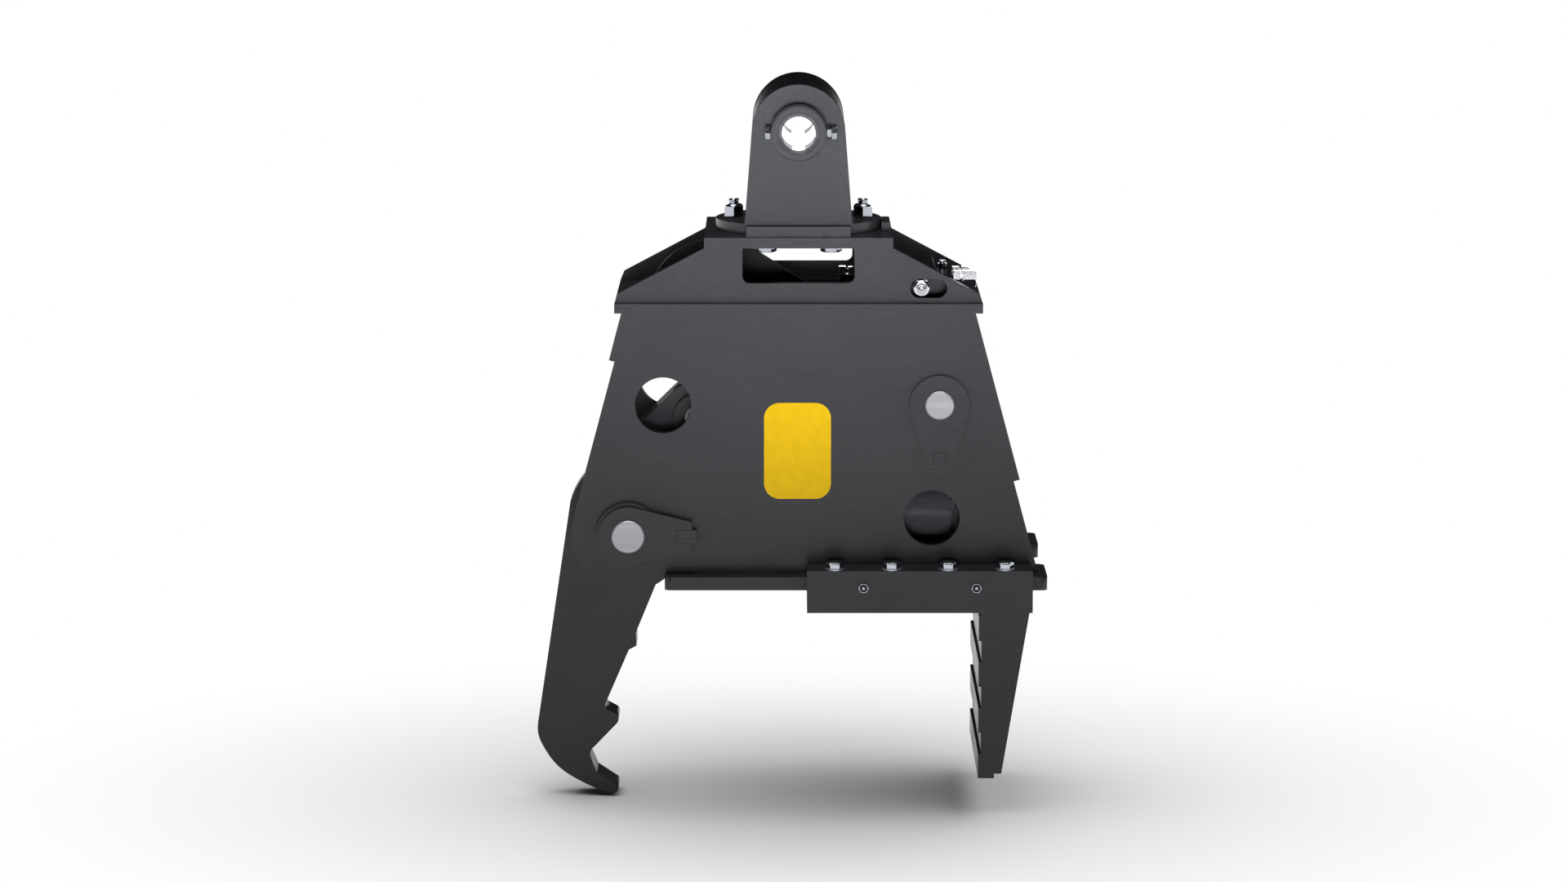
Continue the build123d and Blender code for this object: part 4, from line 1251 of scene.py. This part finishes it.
@dataclass
class CarriageFixings:
    """The guide bolts with their washers, and the grease nipples.

    A nipple's outlines are given as radius and height from its foot.
    """

    keeper: Room = room("rear_guide_keeper")
    bar: Room = room("rear_guide_bar")
    bolt_count: int = 4
    bolt_pitch: float = 108.0
    end_to_bolt: float = 53.0
    face_to_bolt: float = 19.0
    bolt_d: float = 20.0
    across_flats: float = 30.0
    head_h: float = 12.5
    skirt_inset: float = 0.6
    skirt_h: float = 0.7
    skirt_step: float = 0.01
    head_inset: float = 1.2
    head_chamfer: float = 2.2
    head_rounding: float = 0.4
    washer_d: float = 37.0
    washer_t: float = 3.0
    washer_rounding: float = 0.5

    nipple_reach: float = 107.5
    nipple_af: float = 17.0
    nipple_h: float = 7.0
    rim: tuple[Ring, ...] = ((10.2, 0.0), (10.2, 5.6), (8.6, 7.0))
    cup: tuple[Ring, ...] = ((7.3, -1.0), (7.3, 5.8), (8.2, 8.0))
    rim_angle: float = 30.0
    ball: tuple[Ring, ...] = (
        (3.6, 0.0),
        (3.0, 3.0),
        (2.3, 4.0),
        (2.3, 6.0),
        (3.1, 7.2),
        (3.3, 8.6),
        (2.7, 10.2),
        (1.3, 10.9),
    )
    ball_angle: float = 40.0

    def head(self) -> bpy.types.Object:
        """Builds a guide bolt's head, on a short round skirt.

        Returns:
            The head, with its foot at the origin.
        """
        corner = self.across_flats / math.sqrt(3) + CORNER_CLEARANCE
        skirt = self.across_flats / 2 - self.skirt_inset
        outline = [
            (skirt, 0.0),
            (skirt, self.skirt_h),
            (corner, self.skirt_h + self.skirt_step),
            (corner, self.head_h - self.head_chamfer),
            (self.across_flats / 2 - self.head_inset, self.head_h),
        ]
        bar = prism("head", self.across_flats, -SPARE, self.head_h + SPARE)
        return soften(combine(bar, turned("outline", outline, sides=72), "INTERSECT"), self.head_rounding)

    def washer(self) -> bpy.types.Object:
        """Builds a washer, closed where the bolt goes through it.

        Returns:
            The washer, with its foot at the origin.
        """
        edge = self.washer_d / 2
        rings = [(edge, 0.0), (edge, self.washer_t), (self.bolt_d / 2, self.washer_t)]
        return soften(turned("washer", rings, sides=64), self.washer_rounding)

    def nipple(self) -> bpy.types.Object:
        """Builds a flush grease nipple: a hexagonal rim, a cup and the nipple's ball in it.

        Returns:
            The nipple, along +Z from the origin.
        """
        bar = prism("nipple", self.nipple_af, -SPARE, self.nipple_h + SPARE)
        outside = combine(bar, turned("outline", self.rim), "INTERSECT")
        rim = smooth(combine(outside, turned("cup", self.cup), "DIFFERENCE"), self.rim_angle)
        return join(rim, turned("ball", self.ball, sides=24), self.ball_angle)

    def build(self) -> None:
        """Builds one of each and copies it to every seat."""
        head, washer, nipple = self.head(), self.washer(), self.nipple()
        bolt_y = self.keeper.back - self.face_to_bolt
        for number in range(1, self.bolt_count + 1):
            x = self.keeper.left + self.end_to_bolt + self.bolt_pitch * (number - 1)
            for side, y in (("front", -bolt_y), ("rear", bolt_y)):
                flat = seat(twin(washer, f"guide_washer_{side}_{number}"), (x, y, self.keeper.top))
                dress(flat, DULL_ZINC, Body.CARRIAGE, ["guide_washers"])
                bolt_foot = (x, y, self.keeper.top + self.washer_t)
                bolt = seat(twin(head, f"guide_bolt_{side}_{number}"), bolt_foot)
                dress(bolt, ZINC, Body.CARRIAGE, ["guide_bolts"])
        middle_x, _, middle_z = self.bar.middle
        for number, x in enumerate((middle_x - self.nipple_reach, middle_x + self.nipple_reach), 1):
            for side, facing in (("front", Facing.FRONT), ("rear", Facing.BACK)):
                foot = (x, facing.value[1] * self.bar.back, middle_z)
                fitted = seat(twin(nipple, f"grease_nipple_{side}_{number}"), foot, facing)
                dress(fitted, ZINC, Body.CARRIAGE, ["grease_nipples"])
        for spare in (head, washer, nipple):
            bpy.data.objects.remove(spare)


@dataclass
class Marker:
    """The plain yellow marker on the front side plate."""

    centre_x: float = -2.0
    centre_z: float = -609.0
    width: float = 128.0
    height: float = 186.0
    corner: float = 30.0
    corner_segments: int = 12
    face_y: float = room("front_side_plate").front
    thickness: float = 0.4

    def build(self) -> None:
        """Cuts the film from a plane, rounds its corners and gives it its thickness."""
        start()
        bpy.ops.mesh.primitive_plane_add(
            size=1.0,
            location=(self.centre_x * MM, self.face_y * MM, self.centre_z * MM),
            rotation=(math.radians(90), 0, 0),
        )
        film = bpy.context.object
        film.name = "marker_film"
        film.scale = (self.width * MM, self.height * MM, 1.0)
        bpy.ops.object.transform_apply(location=True, rotation=True, scale=True)
        bpy.ops.object.mode_set(mode="EDIT")
        bpy.ops.mesh.select_all(action="SELECT")
        bpy.ops.mesh.bevel(offset=self.corner * MM, segments=self.corner_segments, affect="VERTICES")
        bpy.ops.mesh.select_all(action="SELECT")
        bpy.ops.mesh.extrude_region_move(TRANSFORM_OT_translate={"value": (0, -self.thickness * MM, 0)})
        bpy.ops.mesh.select_all(action="SELECT")
        bpy.ops.mesh.normals_make_consistent(inside=False)
        bpy.ops.object.mode_set(mode="OBJECT")
        dress(film, MARKER, Body.FRAME)


# The studio, whose lamps are placed in metres


@dataclass(frozen=True)
class Softbox:
    """A rectangular lamp that the camera doesn't see, with its power in watts.

    A narrow spread keeps its light off what stands beside its aim. Without glare it
    doesn't show in glossy reflections.
    """

    name: str
    at: Spot
    size: Span
    power: float
    aim: Spot
    spread: float = 180.0
    glare: bool = True
    shadow: bool = True

    def hang(self, only: Sequence[bpy.types.Object]) -> None:
        """Hangs the lamp and turns it to its aim.

        Args:
            only: The pieces that it lights.
        """
        data = bpy.data.lights.new(self.name, "AREA")
        data.shape = "RECTANGLE"
        data.size, data.size_y = self.size
        data.energy = self.power
        data.spread = math.radians(self.spread)
        data.use_shadow = self.shadow
        lamp = bpy.data.objects.new(self.name, data)
        bpy.context.scene.collection.objects.link(lamp)
        lamp.location = self.at
        lamp.rotation_euler = (Vector(self.aim) - Vector(self.at)).to_track_quat("-Z", "Y").to_euler()
        lamp.visible_camera = False
        lamp.visible_glossy = self.glare
        lit = bpy.data.collections.new(f"{self.name}_lights")
        for piece in only:
            lit.objects.link(piece)
        lamp.light_linking.receiver_collection = lit


@dataclass
class Studio:
    """White floor, soft light and the camera."""

    floor_z: float = -1321.0
    floor_colour: str = "#F4F4F4"
    floor_radius_m: float = 60.0
    floor_sides: int = 128
    lit_within_m: float = 0.5
    plain_beyond_m: float = 1.75
    depth_share: float = 1.25

    room_colour: str = "#DDE2EC"
    horizon_glow: float = 0.03
    zenith_glow: float = 0.01
    glow_heights: Span = (0.10, 0.45)

    camera_at: Spot = (-27.8, -9470.9, 876.6)
    camera_tilt: float = 81.02
    lens: float = 112.725
    sensor: float = 36.0
    clip_m: Span = (0.1, 200.0)

    overhead: Softbox = Softbox(
        "overhead_softbox", at=(0.1, 0.0, 2.2), size=(7.0, 7.0), power=272.0, aim=(0.1, 0.0, -1.3)
    )
    front: Softbox = Softbox(
        "front_softbox",
        at=(0.0, -4.5, -0.3),
        size=(1.0, 0.5),
        power=20.5,
        aim=(0.0, 0.0, 0.45),
        spread=35.0,
        glare=False,
    )
    top: Softbox = Softbox(
        "top_softbox",
        at=(0.0, -0.6, 5.0),
        size=(1.6, 1.6),
        power=15.0,
        aim=(0.0, 0.0, -0.5),
        spread=60.0,
        glare=False,
    )
    fitting_top: Softbox = Softbox(
        "fitting_top_softbox", at=(0.0, -0.5, 3.2), size=(3.4, 2.4), power=70.0, aim=(0.0, 0.0, -0.3)
    )
    inner: Softbox = Softbox(
        "inner_softbox",
        at=(0.3, -4.5, -0.6),
        size=(0.5, 0.5),
        power=2.2,
        aim=(0.25, 0.0, -0.75),
        spread=20.0,
        glare=False,
    )
    fitting_back: Softbox = Softbox(
        "fitting_back_softbox", at=(0.3, 3.6, 1.1), size=(6.0, 2.8), power=95.0, aim=(0.0, 0.0, -0.2)
    )
    fitting_front: Softbox = Softbox(
        "fitting_front_softbox", at=(0.0, -4.0, 2.2), size=(6.0, 3.4), power=110.0, aim=(0.0, 0.0, -0.3)
    )
    rear_plate: Softbox = Softbox(
        "rear_plate_softbox",
        at=(0.0, -4.5, -0.3),
        size=(1.0, 0.5),
        power=2.4,
        aim=(0.0, 0.0, 0.45),
        spread=35.0,
        glare=False,
        shadow=False,
    )

    metals: tuple[bpy.types.Material, ...] = (ZINC, DULL_ZINC, NICKEL, SLEEVE, CHROME, PIN_STEEL)
    seen_inside: tuple[str, ...] = ("slide_barrel", "slide_lugs", "slide_anchor_bar")
    out_of_front_light: str = "centre_gusset"
    out_of_top_light: str = "hanger_barrel"
    seen_through_window: str = "rear_bracket_plate"

    def floor(self) -> bpy.types.Object:
        """Lays the floor: lit and shadowed near the object, plain white further out.

        Returns:
            The floor.
        """
        start()
        bpy.ops.mesh.primitive_circle_add(
            vertices=self.floor_sides,
            radius=self.floor_radius_m,
            fill_type="NGON",
            location=(0, 0, self.floor_z * MM),
        )
        ground = bpy.context.object
        ground.name = "studio_floor"
        bpy.ops.object.transform_apply(location=True, rotation=True, scale=True)
        material, tree = empty_material("white_studio_floor")
        place = add_node(tree, "ShaderNodeTexCoord")
        stretched = add_node(
            tree,
            "ShaderNodeVectorMath",
            {0: place.outputs["Object"], 1: (1.0, self.depth_share, 0.0)},
            operation="MULTIPLY",
        )
        reach = add_node(tree, "ShaderNodeVectorMath", {0: stretched}, operation="LENGTH")
        far = add_node(
            tree,
            "ShaderNodeMapRange",
            {
                "Value": reach.outputs["Value"],
                "From Min": self.lit_within_m,
                "From Max": self.plain_beyond_m,
            },
            interpolation_type="SMOOTHSTEP",
        )
        lit = add_node(tree, "ShaderNodeBsdfDiffuse", {"Color": linear(self.floor_colour)})
        plain = add_node(tree, "ShaderNodeEmission", {"Color": linear("#FFFFFF"), "Strength": 1.0})
        mixed = add_node(tree, "ShaderNodeMixShader", {0: far, 1: lit, 2: plain})
        add_node(tree, "ShaderNodeOutputMaterial", {"Surface": mixed})
        ground.data.materials.append(material)
        return ground

    def world(self) -> None:
        """Sets the room: white to the camera, else dim, with a faint glow at the horizon."""
        world = bpy.data.worlds.new("studio_room")
        bpy.context.scene.world = world
        world.use_nodes = True
        tree = world.node_tree
        tree.nodes.clear()
        path = add_node(tree, "ShaderNodeLightPath")
        seen = add_node(
            tree,
            "ShaderNodeMath",
            {0: path.outputs["Is Camera Ray"], 1: path.outputs["Is Transmission Ray"]},
            operation="MAXIMUM",
        )
        place = add_node(tree, "ShaderNodeTexCoord")
        split = add_node(tree, "ShaderNodeSeparateXYZ", {0: place.outputs["Generated"]})
        glow = add_node(
            tree,
            "ShaderNodeMapRange",
            {
                "Value": split.outputs["Z"],
                "From Min": self.glow_heights[0],
                "From Max": self.glow_heights[1],
                "To Min": self.horizon_glow,
                "To Max": self.zenith_glow,
            },
        )
        dim = add_node(tree, "ShaderNodeBackground", {"Color": linear(self.room_colour), "Strength": glow})
        white = add_node(tree, "ShaderNodeBackground", {"Color": linear("#FFFFFF"), "Strength": 1.0})
        mixed = add_node(tree, "ShaderNodeMixShader", {0: seen, 1: dim, 2: white})
        add_node(tree, "ShaderNodeOutputWorld", {"Surface": mixed})

    def camera(self) -> None:
        """Sets the camera where the photograph was taken from."""
        data = bpy.data.cameras.new("camera")
        data.lens = self.lens
        data.sensor_width = self.sensor
        data.clip_start, data.clip_end = self.clip_m
        camera = bpy.data.objects.new("camera", data)
        bpy.context.scene.collection.objects.link(camera)
        camera.location = [v * MM for v in self.camera_at]
        camera.rotation_euler = (math.radians(self.camera_tilt), 0, 0)
        bpy.context.scene.camera = camera

    def build(self) -> None:
        """Sets up the whole studio, once the pieces are all there."""
        pieces = [p for p in bpy.context.scene.objects if p.type == "MESH" and p.material_slots]
        bright = [p for p in pieces if p.material_slots[0].material in self.metals]
        inside = [p for p in pieces if p.name in self.seen_inside]
        self.camera()
        self.world()
        self.overhead.hang([self.floor()])
        self.front.hang([p for p in pieces if p.name != self.out_of_front_light])
        self.top.hang([p for p in pieces if p.name != self.out_of_top_light])
        self.fitting_top.hang(bright)
        self.inner.hang(inside)
        self.fitting_back.hang(bright)
        self.fitting_front.hang(bright)
        self.rear_plate.hang([p for p in pieces if p.name == self.seen_through_window])
        bpy.context.scene.view_settings.view_transform = "Standard"


def main() -> None:
    """Builds every sub-assembly in order, then the studio."""
    logging.basicConfig(level=logging.INFO, format="%(name)s: %(message)s")
    Steelwork().build()
    Hanger().build()
    BoltedBase().build()
    Hydraulics().build()
    CarriageFixings().build()
    Marker().build()
    Studio().build()


if __name__ == "__main__":
    main()
